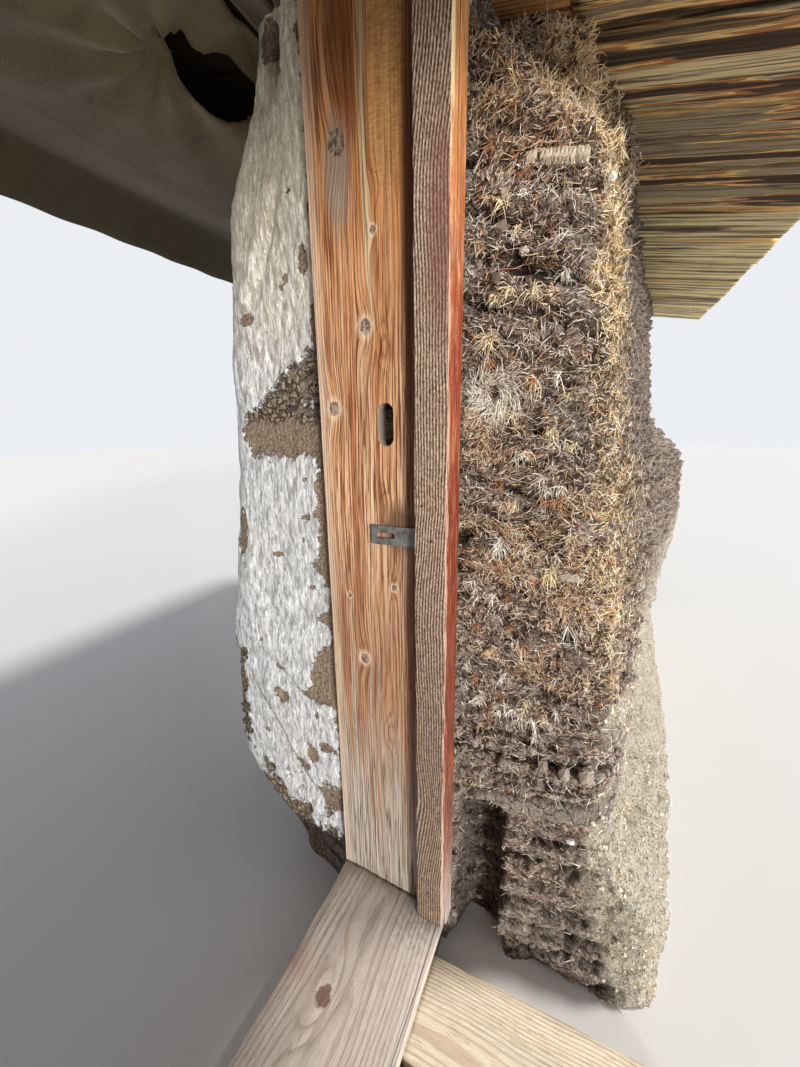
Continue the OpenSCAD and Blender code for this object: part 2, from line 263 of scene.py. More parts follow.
def planks(name, boards, cell, stations, corner, furrow, seed, hollow=0.0, waney=0.0):
    """Worn boards in one mesh. Each board is (start, along, wide, thick): the middle of one end
    and three edge vectors. A rounded rectangle is carried along it, and furrows, noise that is
    stretched along the grain, sink its faces. grain_place holds each point's place from the
    board's own pith; board holds its shade, how near an edge it is and how deep it is worn."""
    all_points, all_faces, all_caps, place, looks = [], [], [], [], []
    for n, (start, along, wide, thick) in enumerate(boards):
        start, along, wide, thick = (np.asarray(v, float) for v in (start, along, wide, thick))
        length, w, h = (np.linalg.norm(v) for v in (along, wide, thick))
        r = min(corner, 0.45 * h)
        turn = np.linspace(0, np.pi / 2, 4)
        a, b, na, nb = [], [], [], []
        for quarter, (ca, cb) in enumerate(((w / 2 - r, h / 2 - r), (r - w / 2, h / 2 - r),
                                            (r - w / 2, r - h / 2), (w / 2 - r, r - h / 2))):
            angle = turn + quarter * np.pi / 2
            span = (w if quarter % 2 == 0 else h) - 2 * r
            fill = np.linspace(0, 1, max(2, int(span / cell)) + 1)[1:-1]
            step_a, step_b = ((-1, 0), (0, -1), (1, 0), (0, 1))[quarter]
            around_a, around_b = np.cos(angle), np.sin(angle)
            a += [ca + r * around_a, ca + r * around_a[-1] + step_a * span * fill]
            b += [cb + r * around_b, cb + r * around_b[-1] + step_b * span * fill]
            na += [around_a, 0 * fill + around_a[-1]]
            nb += [around_b, 0 * fill + around_b[-1]]
        a, b, na, nb = (np.concatenate(v)[None, :] for v in (a, b, na, nb))
        t = np.linspace(0, length, stations)[:, None]
        pith_a = rng.uniform(-0.4, 0.4) * w
        pith_b = rng.choice([-1, 1]) * (h / 2 + rng.uniform(0.01, 0.06))
        spot = joined(a, b, 0.07 * t) + 3.1 * (n + 1) + seed
        worn = 0.5 + 0.5 * np.clip(1.4 * layered(spot, 0.011, seed, 3), -1, 1)
        edge = ease(1 - (w / 2 - np.abs(a)) / 0.02) * np.ones_like(t)
        drop = furrow * worn * (1 + 1.5 * edge)
        end_wear = ease(1 - np.minimum(t, length - t) / 0.02) * 0.3 * furrow
        side = layered(spot * (0.02, 0.02, 1) + 5 * np.sign(a)[..., None], 0.012, seed + 3, 3)
        side = np.sign(a) * waney * np.clip(0.45 + 0.8 * side, 0, 1.4)
        aa = a - na * (drop + end_wear) - side * edge
        bb = b - nb * (drop + end_wear)
        middle = np.sin(np.pi * t / length) ** 2 * np.cos(np.clip(a / (w / 2), -1, 1) * np.pi / 2)
        bb = bb - hollow * middle * (nb > 0.3)
        tt = t + furrow * 2 * lattice(spot, 0.02, seed + 5) * (np.minimum(t, length - t) < 1e-6)
        points = (start + (wide / w) * aa[..., None] + (thick / h) * bb[..., None]
                  + (along / length) * tt[..., None])
        quads, low, high = ring_faces(stations, a.shape[1],
                                      flip=np.dot(np.cross(wide, thick), along) < 0)
        base = sum(len(p) for p in all_points)
        all_points.append(points.reshape(-1, 3))
        all_faces.append(quads + base)
        all_caps += [low + base, high + base]
        place.append(joined(a - pith_a, b - pith_b, t + 1.7 * n + seed).reshape(-1, 3))
        shade = np.full(t.shape, rng.uniform(0, 1))
        looks.append(joined(shade, edge, worn).reshape(-1, 3))
    piece = make_mesh(name, np.concatenate(all_points), np.concatenate(all_faces), *all_caps)
    layer = piece.data.attributes.new("grain_place", "FLOAT_VECTOR", "POINT")
    layer.data.foreach_set("vector", np.concatenate(place).astype(np.float32).ravel())
    tint(piece, "board", np.concatenate(looks))
    return piece


def mix(factor, a, b):
    """Colour a where the factor is 0 and colour b where it is 1."""
    a, b = (value if isinstance(value, Wire) else (*value, 1) for value in (a, b))
    return add("Mix", {0: factor, 6: a, 7: b}, 2, data_type="RGBA", clamp_factor=True)


def ramp(factor, stops):
    """Colour along a factor: stops are (place, colour)."""
    made = add("ValToRGB", {0: factor})
    line = made.socket.node.color_ramp.elements
    while len(line) < len(stops):
        line.new(0.5)
    for element, (place, colour) in zip(line, stops):
        element.position = place
        element.color = (*colour, 1)
    return made


def noise(place, scale, detail=4.0, rough=0.6, distortion=0.0, out=0):
    """Fractal noise as one value, or as three, in a colour, with out=1."""
    fields = {"Vector": place, "Scale": scale, "Detail": detail, "Roughness": rough,
        "Distortion": distortion}
    return add("TexNoise", fields, out)


def spread(value, low, high):
    """Stretches the span from low to high onto 0 to 1 and clips the rest."""
    return add("MapRange", {"Value": value, "From Min": low, "From Max": high})


def split(value, kind="XYZ"):
    """The three parts of a vector, or of a colour."""
    return [Wire(part) for part in add("Separate" + kind, {0: value}).socket.node.outputs]


def stored(name):
    """The three values that tint stored under a name."""
    return split(add("Attribute", attribute_name=name), "Color")


def dimmed(colour, part):
    """A colour with each of its parts times one number."""
    return tuple(part * c for c in colour)


def placed(group, **inputs):
    """One use of a node group: its outputs by name."""
    return {end.name: Wire(end) for end in add("Group", inputs, node_tree=group).socket.node.outputs}


def new_group(name, inputs, outputs):
    """An empty shader node group, put on the bench, with its given wires and its result
    sockets. An input is (name, start value), with None for a vector; outputs are values."""
    tree = bpy.data.node_groups.new(name, "ShaderNodeTree")
    for label, start in inputs:
        kind = "NodeSocketVector" if start is None else "NodeSocketFloat"
        socket = tree.interface.new_socket(label, in_out="INPUT", socket_type=kind)
        if start is not None:
            socket.default_value = start
    for label in outputs:
        tree.interface.new_socket(label, in_out="OUTPUT", socket_type="NodeSocketFloat")
    bench.append(tree)
    given = {end.name: Wire(end) for end in tree.nodes.new("NodeGroupInput").outputs}
    return tree, given, tree.nodes.new("NodeGroupOutput").inputs


def growth_rings_group():
    """Sawn softwood. Rings round the pith, which wanders slowly along the board, so that they
    come out as long flames and straight lines; Bulge bends them round a knot."""
    tree, given, result = new_group(
        "growth_rings", (("Place", None), ("Ring", 0.006), ("Wander", 0.03), ("Bulge", 0.0)),
        ("Late", "Fibre", "Streak"))
    slow = noise(given["Place"] * (2.2, 2.2, 0.9), 1.6, 2.0, 0.5, out=1)
    drift = add("VectorMath", {0: slow - (0.5, 0.5, 0.5), 3: given["Wander"]}, operation="SCALE")
    quick = noise(given["Place"] * (14, 14, 2.0), 2.0, 3.0, 0.5, out=1)
    shiver = add("VectorMath", {0: quick - (0.5, 0.5, 0.5), 3: 0.005}, operation="SCALE")
    moved = given["Place"] + drift + shiver
    reach = maths("LENGTH", moved * (1, 1, 0))
    turn = maths("FRACT", (reach + given["Bulge"]) / given["Ring"])
    rise = add("MapRange", {"Value": turn, "From Min": 0.42, "From Max": 0.86},
        interpolation_type="SMOOTHSTEP")
    fall = add("MapRange", {"Value": turn, "From Min": 0.9, "From Max": 1.0, "To Min": 1.0, "To Max": 0.0})
    feed(result["Late"], rise * fall)
    feed(result["Fibre"], noise(moved * (1, 1, 0.025), 900.0, 3.0, 0.7))
    feed(result["Streak"], noise(moved * (1, 1, 0.05), 60.0, 3.0, 0.6))
    return tree


def knot_group():
    """One knot: how far it pushes the rings aside, its dark heart and its pale halo."""
    tree, given, result = new_group(
        "knot", (("Place", None), ("Centre", None), ("Radius", 0.01)), ("Bulge", "Heart", "Halo"))
    away = (given["Place"] - given["Centre"]) * (1, 0, 1)
    ragged = (noise(given["Place"], 120.0, 3.0) - 0.5) * 0.9
    near = maths("LENGTH", away * (1, 0, 0.8)) / given["Radius"] + ragged
    far = maths("LENGTH", away * (0.6, 0, 0.21)) / given["Radius"]
    hump = maths("EXPONENT", far * far * -1.0)
    feed(result["Bulge"], hump * given["Radius"] * 1.1)
    feed(result["Heart"], add("MapRange",
        {"Value": near, "From Min": 0.8, "From Max": 1.05, "To Min": 1.0, "To Max": 0.0}))
    halo = add("MapRange", {"Value": near, "From Min": 1.1, "From Max": 1.9, "To Min": 1.0, "To Max": 0.0})
    feed(result["Halo"], halo)
    return tree


growth_rings, knot = growth_rings_group(), knot_group()


def wood_look(name, early, late, grey=(0.33, 0.29, 0.24), greyness=0.3, ring=0.006, wander=0.05,
              axes=None, pith=(0.0, 0.05), knots=(), flames=(), relief=0.6, dark=(0.05, 0.03, 0.02)):
    """Sawn softwood: pale early wood, dark late wood, fine pores, streaks, knots and greying.
    Flames bend the rings as knots do, but have no heart. axes names the object axes that run
    across, through and along the board; without it the board's own grain_place is read. Gives
    the nodes that a finish may go on from."""
    material, shader, here = plain_surface(name)
    if axes is None:
        place = add("Attribute", out="Vector", attribute_name="grain_place")
    else:
        parts = split(here)
        turned = add("CombineXYZ", {i: parts["XYZ".index(a)] for i, a in enumerate(axes)})
        place = turned - (*pith, 0.0)
    bulge, heart, halo = 0.0, 0.0, 0.0
    for number, (across, along, radius) in enumerate((*knots, *flames)):
        one = placed(knot, Place=place, Centre=(across - pith[0], 0, along), Radius=radius)
        bulge = one["Bulge"] + bulge
        if number < len(knots):
            heart = maths("MAXIMUM", one["Heart"], heart)
            halo = maths("MAXIMUM", one["Halo"], halo)
    rings = placed(growth_rings, Place=place, Ring=ring, Wander=wander, Bulge=bulge)
    streak = spread(rings["Streak"], 0.36, 0.64)
    wood = mix(rings["Late"] * 0.85, early, late)
    wood = mix(streak * 0.55, wood, tuple(0.42 * a + 0.58 * b for a, b in zip(late, early)))
    broad = spread(noise(place * (1, 1, 0.12), 16.0, 3.0), 0.4, 0.66)
    aged = mix(rings["Late"] * 0.6, grey, dimmed(grey, 0.45))
    wood = mix(broad * greyness, wood, aged)
    pores = spread(rings["Fibre"], 0.3, 0.46)
    wood = mix(pores, dimmed(late, 0.5), wood)
    if knots:
        wood = mix(halo * 0.5, wood, dimmed(early, 1.15))
        wood = mix(heart * 0.85, wood, dark)
    height = rings["Late"] * 0.8 + rings["Fibre"] * 1.1
    height = height - heart * 1.2
    coat(shader, {"Base Color": wood, "Roughness": 0.82, "Specular IOR Level": 0.25},
        (height, relief, 0.0015))
    return material, shader, {"here": here, "place": place, "wood": wood, "rings": rings,
        "heart": heart, "halo": halo, "bulge": bulge}


sill_low, sill_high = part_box("sill_plank")
fall = math.atan2(0.025, back_y - front_y)
sill_t = 0.04
lean, rise = np.array([0, math.cos(fall), math.sin(fall)]), np.array([0, -math.sin(fall), math.cos(fall)])
sill_middle = np.array([0, 0, (sill_low.z + sill_high.z) / 2])
sill = planks("sill_plank_worn",
    [((-0.4295, 0, sill_middle[2]), (0.859, 0, 0), lean * 0.285, rise * sill_t)], 0.006, 90, 0.006,
    0.0022, 3, hollow=0.007)
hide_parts("sill_plank")
sill_look, shader, got = wood_look("sill_wood_worn", (0.61, 0.525, 0.455), (0.44, 0.345, 0.285),
    grey=(0.6, 0.54, 0.49), greyness=0.85, ring=0.0075, wander=0.05, axes="YZX", pith=(0.03, 0.05),
    knots=((0.038, 0.17, 0.017), (0.06, -0.16, 0.012)), dark=(0.15, 0.07, 0.05))
dust = spread(noise(got["here"], 9.0, 5.0, 0.7), 0.45, 0.75)
wood = mix(dust * 0.5, got["wood"], (0.58, 0.525, 0.465))
spot = maths("DISTANCE", got["here"], (0.36, -0.085, 0.16))
lime = spread(spot, 0.085, 0.02) * spread(noise(got["here"], 60.0, 4.0, 0.7), 0.44, 0.56)
wood = mix(lime, wood, (0.66, 0.63, 0.58))
rosy = spread(maths("DISTANCE", got["here"], (0.194, 0.115, 0.172)), 0.04, 0.012)
wood = mix(rosy * 0.5, wood, (0.44, 0.27, 0.22))
shake_y = -0.127                  # a long crack near the front edge
shake = split(got["here"])[1] + noise(got["here"], 7.0, 2.0) * 0.008
shake = spread(abs(shake - shake_y), 0.0016, 0.0006)
wood = mix(shake * 0.8, wood, (0.07, 0.05, 0.04))
# Painted shade: the ends of the sill beside the jambs are darkened, as the corners there lie in shade.
jamb_corner_shade = split(got["here"])[0] + (noise(got["here"], 30.0, 4.0, 0.7) - 0.5) * 0.06
wood = mix(spread(abs(jamb_corner_shade), 0.375, 0.425) * 0.55, wood, (0.16, 0.12, 0.095))
coat(shader, {"Base Color": wood})
sill.data.materials.append(sill_look)


def finish_node(node, material, bevel=0.002):
    """Joins the loose triangles of a CAD node, rounds its edges a little and paints it."""
    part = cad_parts[node]
    weld = part.modifiers.new("weld", "WELD")
    weld.merge_threshold = 0.0001
    if bevel:
        round_edges = part.modifiers.new("round_edges", "BEVEL")
        round_edges.width = bevel
        round_edges.segments = 2
        round_edges.limit_method = "ANGLE"
        round_edges.angle_limit = math.radians(40)
    for place in part.material_slots:
        place.material = material


bearer_look, *_ = wood_look("bearer_wood", (0.3, 0.24, 0.18), (0.12, 0.09, 0.07), greyness=0.7,
    ring=0.007, axes="YZX", pith=(0.0, 0.02))
finish_node("sill_bearer", bearer_look, 0.004)

# Jambs. Pine planks a foot wide stand on the bearer and line the turf reveal. The sun has
# turned them orange-brown, the foot is grey from splashing, and their front edge is barn red.
jamb_knots = ((0.078, 1.782, 0.017), (0.032, 1.487, 0.0115), (0.109, 1.344, 0.012), (0.06, 0.799, 0.0105),
              (0.092, 0.947, 0.005), (-0.017, 0.98, 0.006), (0.012, 1.64, 0.006))


def painted_edge(here, wood, front=-0.1415, worn_above=1.7):
    """Barn red on the front edge, rubbed to orange wood high up and bleached at the foot."""
    x, y, z = split(here)
    rubbed = noise(here * (1, 1, 0.12), 130.0, 5.0, 0.7)
    height = z + (rubbed - 0.5) * 0.6
    paint = ramp(spread(z, 0.1, 2.0),
        [(0.0, (0.32, 0.2, 0.16)), (0.25, (0.19, 0.052, 0.032)), (0.55, (0.22, 0.034, 0.018)),
        (0.74, (0.38, 0.08, 0.034)), (0.9, (0.72, 0.33, 0.12))])
    paint = mix(spread(rubbed, 0.53, 0.62) * spread(z, 0.9, 1.8), paint, (0.86, 0.5, 0.25))
    streak = noise(here * (1, 1, 0.03), 330.0, 3.0, 0.6)
    paint = mix(spread(streak, 0.54, 0.62) * 0.45, paint, (0.76, 0.28, 0.13))
    paint = mix(spread(streak, 0.46, 0.38) * 0.65, paint, (0.12, 0.025, 0.016))
    paint = mix(spread(height, 0.34, 0.12), paint, (0.52, 0.45, 0.4))
    paint = mix(spread(rubbed, 0.4, 0.32), paint, (0.12, 0.035, 0.025))
    line = spread(abs(x), 0.406, 0.4045) * spread(rubbed, 0.42, 0.52)
    paint = mix(line * 0.6, paint, (0.74, 0.56, 0.42))
    bare = spread(abs(x), 0.409, 0.404) * spread(height, worn_above, worn_above + 0.08)
    paint = mix(bare, paint, (0.88, 0.72, 0.42))
    edge = y + (rubbed - 0.5) * 0.004
    return mix(spread(edge, front + 0.0006, front - 0.0004), wood, paint)


def jamb_look(name, knots, flames, bands, smear):
    """The plank's own figure over the rings: streaks of red-brown, orange and pale wood 5 to 15 mm
    wide, a curly golden patch high up beside the stop, a grey smear below the biggest knot. A
    band is (middle, half width, foot, top, colour)."""
    material, shader, got = wood_look(
        name, (0.74, 0.41, 0.205), (0.21, 0.066, 0.024), grey=(0.6, 0.48, 0.37), greyness=0.35, ring=0.005,
        wander=0.026, axes="YXZ", pith=(0.004, 0.478), knots=knots, flames=flames, relief=0.9)
    here = got["here"]
    x, y, z = split(here)
    bent = noise(here * (0, 1.0, 1), 2.2, 1.0) - 0.5
    across = y + maths("MULTIPLY_ADD", bent, 0.024, got["bulge"])
    flat = add("CombineXYZ", {0: across, 2: z * 0.024})
    wide, narrow, zone = (noise(flat, s, 2.0, 0.55) for s in (62.0, 170.0, 16.0))
    zone = spread(zone, 0.4, 0.6)
    wood = mix(spread(wide, 0.53, 0.6) * maths("MULTIPLY_ADD", zone, 0.45, 0.4), got["wood"],
        (0.47, 0.185, 0.075))
    wood = mix(spread(wide, 0.46, 0.39) * 0.58, wood, (0.86, 0.62, 0.42))
    wood = mix(spread(narrow, 0.55, 0.61) * (zone * 0.8), wood, (0.25, 0.085, 0.035))
    hairline = noise(flat, 300.0, 2.0, 0.5)
    wood = mix(spread(hairline, 0.55, 0.58) * 0.88, wood, (0.17, 0.05, 0.02))
    wood = mix(spread(hairline, 0.44, 0.4) * 0.42, wood, (0.95, 0.68, 0.44))
    high = spread(z, 1.32, 1.66)
    wood = mix(high * 0.62, wood, mix(spread(narrow, 0.46, 0.54), (0.58, 0.24, 0.07), (0.17, 0.05, 0.014)))
    for middle, half, foot, top, tone in bands:
        off = abs(across - middle) + (narrow - 0.5) * half
        within = spread(z, foot - 0.05, foot + 0.05) * spread(z, top + 0.05, top - 0.05)
        within = within * spread(off, half, 0.75 * half)
        lined = mix(spread(hairline, 0.46, 0.56), tone, dimmed(tone, 0.45))
        wood = mix(within * 0.8, wood, lined)
    curl_place = here * (0, 0.3, 1)
    curl = spread(noise(curl_place, 240.0, 4.0, 0.65, 0.3), 0.4, 0.62)
    curly = spread(across, 0.02, 0.01) * spread(y, -0.06, -0.048)
    curly = curly * (spread(z, 1.62, 1.8) * 0.62)
    wood = mix(curly, wood, mix(curl, (0.74, 0.42, 0.15), (0.46, 0.21, 0.06)))
    low = spread(z, 1.2, 0.85) * 0.46
    wood = mix(low, wood, (0.22, 0.12, 0.075))
    ragged = z + (wide - 0.5) * 1.1
    foot = spread(ragged, 0.74, 0.36)
    bleached = mix(spread(narrow, 0.42, 0.62), (0.52, 0.46, 0.4), (0.28, 0.235, 0.195))
    wood = mix(foot * 0.95, wood, bleached)
    wood = mix(foot * spread(hairline, 0.55, 0.61), wood, (0.13, 0.095, 0.07))
    pale_edge = spread(y + wide * 0.02, 0.125, 0.15) * 0.6
    wood = mix(pale_edge, wood, (0.74, 0.59, 0.45))
    for place_y, place_z, radius in smear:
        soot = maths("DISTANCE", here * (0, 1, 0.3), (0, place_y, 0.3 * (place_z - radius)))
        soot = soot + (narrow - 0.5) * 0.03
        wood = mix(spread(soot, 1.35 * radius, 0.7 * radius) * 0.72, wood, (0.3, 0.25, 0.205))
    wood = mix(got["halo"] * spread(z, 1.72, 1.66) * 0.55, wood, (0.8, 0.66, 0.5))
    wood = mix(got["heart"] * 0.8, wood,
        mix(spread(noise(here, 150.0, 3.0), 0.44, 0.58), (0.06, 0.034, 0.026), (0.34, 0.26, 0.21)))
    # Painted shade with some dirt: a dark band on the jamb in the corner beside the stop, stronger higher
    # up.
    stop_shade_and_grime = y + (narrow - 0.5) * 0.02
    stop_shade_and_grime = spread(stop_shade_and_grime, -0.043, -0.053) * spread(z, 0.2, 1.5)
    wood = mix(stop_shade_and_grime * 0.82, wood, (0.11, 0.035, 0.018))
    keeper_stain = (spread(maths("DISTANCE", here * (0, 1, 0.7), (0, -0.03, 0.7 * 1.112)), 0.045, 0.02)
        * 0.92)
    wood = mix(keeper_stain, wood, (0.16, 0.09, 0.05))
    # Inside the mortise the wood is grey-beige, darkening deeper in the hole as painted shade.
    depth = abs(x) - jamb_low.x
    cut = maths("DISTANCE", here * (0, 1, 0.6), (0, -0.005, 0.6 * 1.321))
    cut = spread(cut, 0.046, 0.042) * spread(depth, 0.0012, 0.003)
    wood = mix(cut, wood, mix(spread(depth, 0.004, 0.03), (0.44, 0.38, 0.31), (0.1, 0.075, 0.055)))
    wood = painted_edge(here, wood)
    coat(shader, {"Base Color": wood})
    return material


jamb_flames = ((0.006, 1.7, 0.007), (-0.006, 1.45, 0.0085), (0.0, 1.149, 0.0075), (-0.002, 0.619, 0.009))
jamb_bands = ((0.066, 0.027, 1.8, 2.2, (0.3, 0.095, 0.025)), (0.027, 0.007, 1.5, 2.2, (0.66, 0.52, 0.31)),
              (0.066, 0.007, 0.93, 1.4, (0.44, 0.15, 0.06)), (0.034, 0.005, 0.56, 0.78, (0.36, 0.12, 0.05)),
              (0.112, 0.01, 0.74, 0.92, (0.4, 0.17, 0.075)), (0.012, 0.004, 1.0, 1.42, (0.38, 0.13, 0.05)))
right_jamb_look = jamb_look("frame_pine_right", jamb_knots, jamb_flames, jamb_bands,
    ((0.08, 1.755, 0.024),))
left_jamb_look = jamb_look("frame_pine_left",
    ((0.05, 1.62, 0.012), (-0.02, 1.15, 0.009), (0.08, 0.72, 0.014)),
    ((0.03, 1.35, 0.009), (-0.01, 0.9, 0.008)), (), ())
finish_node("jamb_right", right_jamb_look, 0.0015)
finish_node("jamb_left", left_jamb_look, 0.0015)
head_look, *_ = wood_look("frame_pine_head", (0.36, 0.19, 0.09), (0.16, 0.06, 0.03), greyness=0.4,
    ring=0.008, axes="YZX", pith=(0.0, 2.12), knots=())
finish_node("head_plank", head_look, 0.002)

# Stops. Narrow strips nailed to the outer edge of the frame; the weather has cut deep furrows
# between the hard rings, and the front edge carries the same red paint.
stop_low, stop_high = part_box("stop_right")


def stop_strip(name, side, cell, stations, seed):
    """A strip on one jamb, furrowed along its hard rings."""
    x = side * (stop_low.x + stop_high.x) / 2
    w, h = stop_high.y - stop_low.y, stop_high.x - stop_low.x
    top = stop_high.z - 0.006
    y = (stop_low.y + stop_high.y) / 2
    piece = planks(name, [((x, y, stop_low.z), (0, 0, top - stop_low.z), (0, w - 0.0006, 0),
        (-side * (h - 0.0004), 0, 0))], cell, stations, 0.003, 0.0004, seed)
    mesh = piece.data
    count = len(mesh.vertices)
    where = np.empty(count * 3, np.float32)
    mesh.vertices.foreach_get("co", where)
    where = where.reshape(-1, 3).astype(float)
    y_in, z = where[:, 1] - y, where[:, 2]
    sway = (0.012 * lattice(where * (0.2, 1, 1), 0.33, seed)
        + 0.005 * lattice(where * (0.3, 1, 1), 0.09, seed + 1) + 0.001 * lattice(where, 0.04, seed + 2))
    swirl = 0.02 * bell(z, 0.47, 0.1) * np.cos(y_in / 0.03)
    swirl = swirl + 0.03 * ease((z - 1.64) / 0.32) + 0.01 * ease((z - 0.9) / 0.26)
    turns = (y_in + 0.18 * np.abs(where[:, 0] - side * 0.4) + sway + swirl) / 0.0056
    ridge = (0.5 + 0.5 * np.cos(2 * np.pi * turns)) ** 1.4
    front = np.clip(-side * (where[:, 0] - x) / (h / 2), -1, 1)
    where[:, 0] += side * 0.0013 * (1 - ridge) * (front > 0.6)
    where[:, 1] += 0.0016 * (1 - ridge) * (y_in < 0.0005 - w / 2)
    mesh.vertices.foreach_set("co", where.astype(np.float32).ravel())
    tint(piece, "furrow", turns[:, None])
    return piece


def stop_look():
    """Grey-brown weathered pine: pale hard ridges, dark furrows, a red-brown patch, red edge."""
    material, shader, got = wood_look("stop_wood_furrowed", (0.36, 0.28, 0.21), (0.2, 0.14, 0.1),
        greyness=0.6, ring=0.006, relief=0.7)
    turns = stored("furrow")[0]
    ridge = maths("MULTIPLY_ADD", maths("COSINE", turns * (2 * math.pi)), 0.5, 0.5)
    fine = noise(got["here"] * (1, 1, 0.1), 420.0, 3.0, 0.7)
    dash = noise(got["here"] * (1, 1, 0.45), 400.0, 2.0, 0.5)
    lift = maths("MULTIPLY_ADD", ridge, 0.64, 0.17)
    lift = lift + (fine - 0.5) * 1.0
    lift = lift + (dash - 0.5) * 1.3
    wood = ramp(lift, [(0.08, (0.045, 0.026, 0.018)), (0.38, (0.2, 0.125, 0.085)),
        (0.62, (0.38, 0.265, 0.19)), (0.96, (0.72, 0.58, 0.46))])
    z = split(got["here"])[2]
    wood = mix(maths("MULTIPLY_ADD", spread(z, 1.15, 0.65), 0.3, 0.15), wood, (0.06, 0.042, 0.034))
    for nail_y, nail_z in ((-0.095, 1.166), (-0.113, 1.1), (-0.107, 0.24)):
        nail = maths("DISTANCE", got["here"] * (0, 1, 1), (0, nail_y, nail_z))
        wood = mix(spread(nail, 0.0034, 0.0022) * 0.9, wood, (0.03, 0.018, 0.012))
    patch = spread(maths("DISTANCE", got["here"] * (0, 1, 0.16), (0, -0.128, 0.16 * 1.6)), 0.032, 0.014)
    wood = mix(patch * 0.6, wood, (0.17, 0.06, 0.045))
    wood = painted_edge(got["here"], wood, front=-0.1408)
    coat(shader, {"Base Color": wood}, (fine, 0.6, 0.0012))
    return material


stop_wood = stop_look()
for word, side, cell, stations in (("right", 1, 0.0019, 130), ("left", -1, 0.004, 90)):
    strip = stop_strip(f"stop_{word}_strip", side, cell, stations, 21 + side)
    strip.data.materials.append(stop_wood)
    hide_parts(f"stop_{word}")
stop_head_look, *_ = wood_look("stop_head_wood", (0.3, 0.23, 0.17), (0.13, 0.09, 0.06), greyness=0.6,
    ring=0.005, axes="YZX", pith=(-0.05, 2.0))
finish_node("stop_head", stop_head_look, 0.002)

# Keeper. A steel strap let onto the jamb beside the stop, slotted for a bolt; it has gone
# grey-green with thin rust at its edges.
def steel_look():
    material, shader, here = plain_surface("keeper_steel")
    grain = noise(here, 55.0, 6.0, 0.7)
    fine = noise(here, 600.0, 3.0, 0.6)
    colour = ramp(grain, [(0.34, (0.13, 0.127, 0.12)), (0.5, (0.24, 0.245, 0.24)),
        (0.66, (0.38, 0.39, 0.39))])
    rust = spread(grain, 0.56, 0.66) * spread(fine, 0.4, 0.55)
    colour = mix(rust * 0.6, colour, (0.2, 0.09, 0.04))
    rough = maths("MULTIPLY_ADD", grain, 0.5, 0.28)
    coat(shader, {"Base Color": colour, "Roughness": rough, "Metallic": 0.75}, (fine, 0.25, 0.0005))
    return material


keeper_steel = steel_look()
finish_node("keeper_plate", keeper_steel, 0.0006)

# Landing. Four short planks lie on the ground before the sill, sun-bleached, their inner ends
# pushed under it and their outer ends uneven.
_, landing_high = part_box("landing_planks")
landing_reach = (0.535, 0.549, 0.541, 0.528)
pitch = 0.806 / 4
landing = planks("landing_planks_worn",
    [((-0.4 + 0.09775 + i * pitch, landing_high.y - 0.001, 0.0235), (0.001 * (i - 1), 2e-3 - reach, 0),
    (0.1945, 0, 0), (0, 0, 0.046)) for i, reach in enumerate(landing_reach)], 0.011, 46, 0.005, 0.002, 8)
landing_look, *_ = wood_look("landing_wood_bleached", (0.88, 0.8, 0.62), (0.6, 0.42, 0.28),
    grey=(0.76, 0.7, 0.58), greyness=0.5, ring=0.006, relief=0.9)
landing.data.materials.append(landing_look)
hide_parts("landing_planks")

# Turf walls. Turves are laid in courses with their roots outwards and their ends uneven. The
# face has slumped into a belly, the foot is washed to bare earth, and one course is grey clay.
# The outline of the solids is carried up the wall, then roughened.
roof_z = 2.064                    # underside of the boards above the middle of the frame
roof_rise = math.tan(math.radians(10))
course_h = 0.064                  # height of a turf once it has settled
reveal_x = jamb_back + 0.042
wall_half = 2.85
plaster_t = 0.028
room_half = wall_half - 0.56     # plastered face of each end wall
split_y = 0.48                   # where the end walls join on
end_wall_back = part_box("right_end_wall")[1].y
arris_r, corner_r, plaster_r, cove = 0.07, 0.19, 0.12, 0.07


def roof_under(y):
    return roof_z + roof_rise * y


def near_y(z):
    return 0.33 + 0.17 * (1 - z / roof_z)


def gain_y(z):
    r = z / roof_z
    return 0.265 + 0.185 * (ease((r - 0.22) / 0.17) - ease((r - 0.53) / 0.145))


def gain_power(z):
    r = z / roof_z
    return (0.25 + 0.6 * ease((r - 0.12) / 0.12) + 0.15 * np.clip((r - 0.24) / 0.19, 0, 1)
            + 0.4 * np.clip((r - 0.68) / 0.19, 0, 1))


def fallen(z, depth=0.0):
    """1 where the head of the turf has fallen away, which starts lower towards the arris."""
    return np.clip(((z + 0.11 * ease((depth - 0.13) / 0.23)) / roof_z - 0.9) / 0.03, 0, 1)


def outer_y(x, z):
    """Outer face: a batter beside the doorway plus a gain that builds up towards the ends."""
    t = np.clip((x - reveal_x) / (wall_half - reveal_x), 0, 1)
    return -(near_y(z) + gain_y(z) * t ** gain_power(z)
             - 0.11 * fallen(z) * np.clip(1 - 5 * t, 0, 1))


def end_x(z):
    return wall_half + 0.08 * (1 - z / roof_z)


def room_y(z):
    """Room side of the front wall, on the plaster: it leans in, with a bulge, a worn foot and a
    head that rounds in towards the doorway."""
    return (0.51 - 0.108 * (z - 1.26) + 0.03 * bell(z, 0.6, 0.25)
            - 0.23 * bell(z, 0, 0.2) - 0.085 * ease((z - 1.75) / 0.33))


def run(count, start, stop):
    """Columns from one plan point to another, both given for every row."""
    t = np.linspace(0, 1, max(2, int(count)), endpoint=False)[None, :]
    return start[0] + (stop[0] - start[0]) * t, start[1] + (stop[1] - start[1]) * t


def arc(count, centre, radius, a0, a1):
    a = np.radians(np.linspace(a0, a1, max(4, int(count)), endpoint=False))[None, :]
    return centre[0] + radius * np.cos(a), centre[1] + radius * np.sin(a)


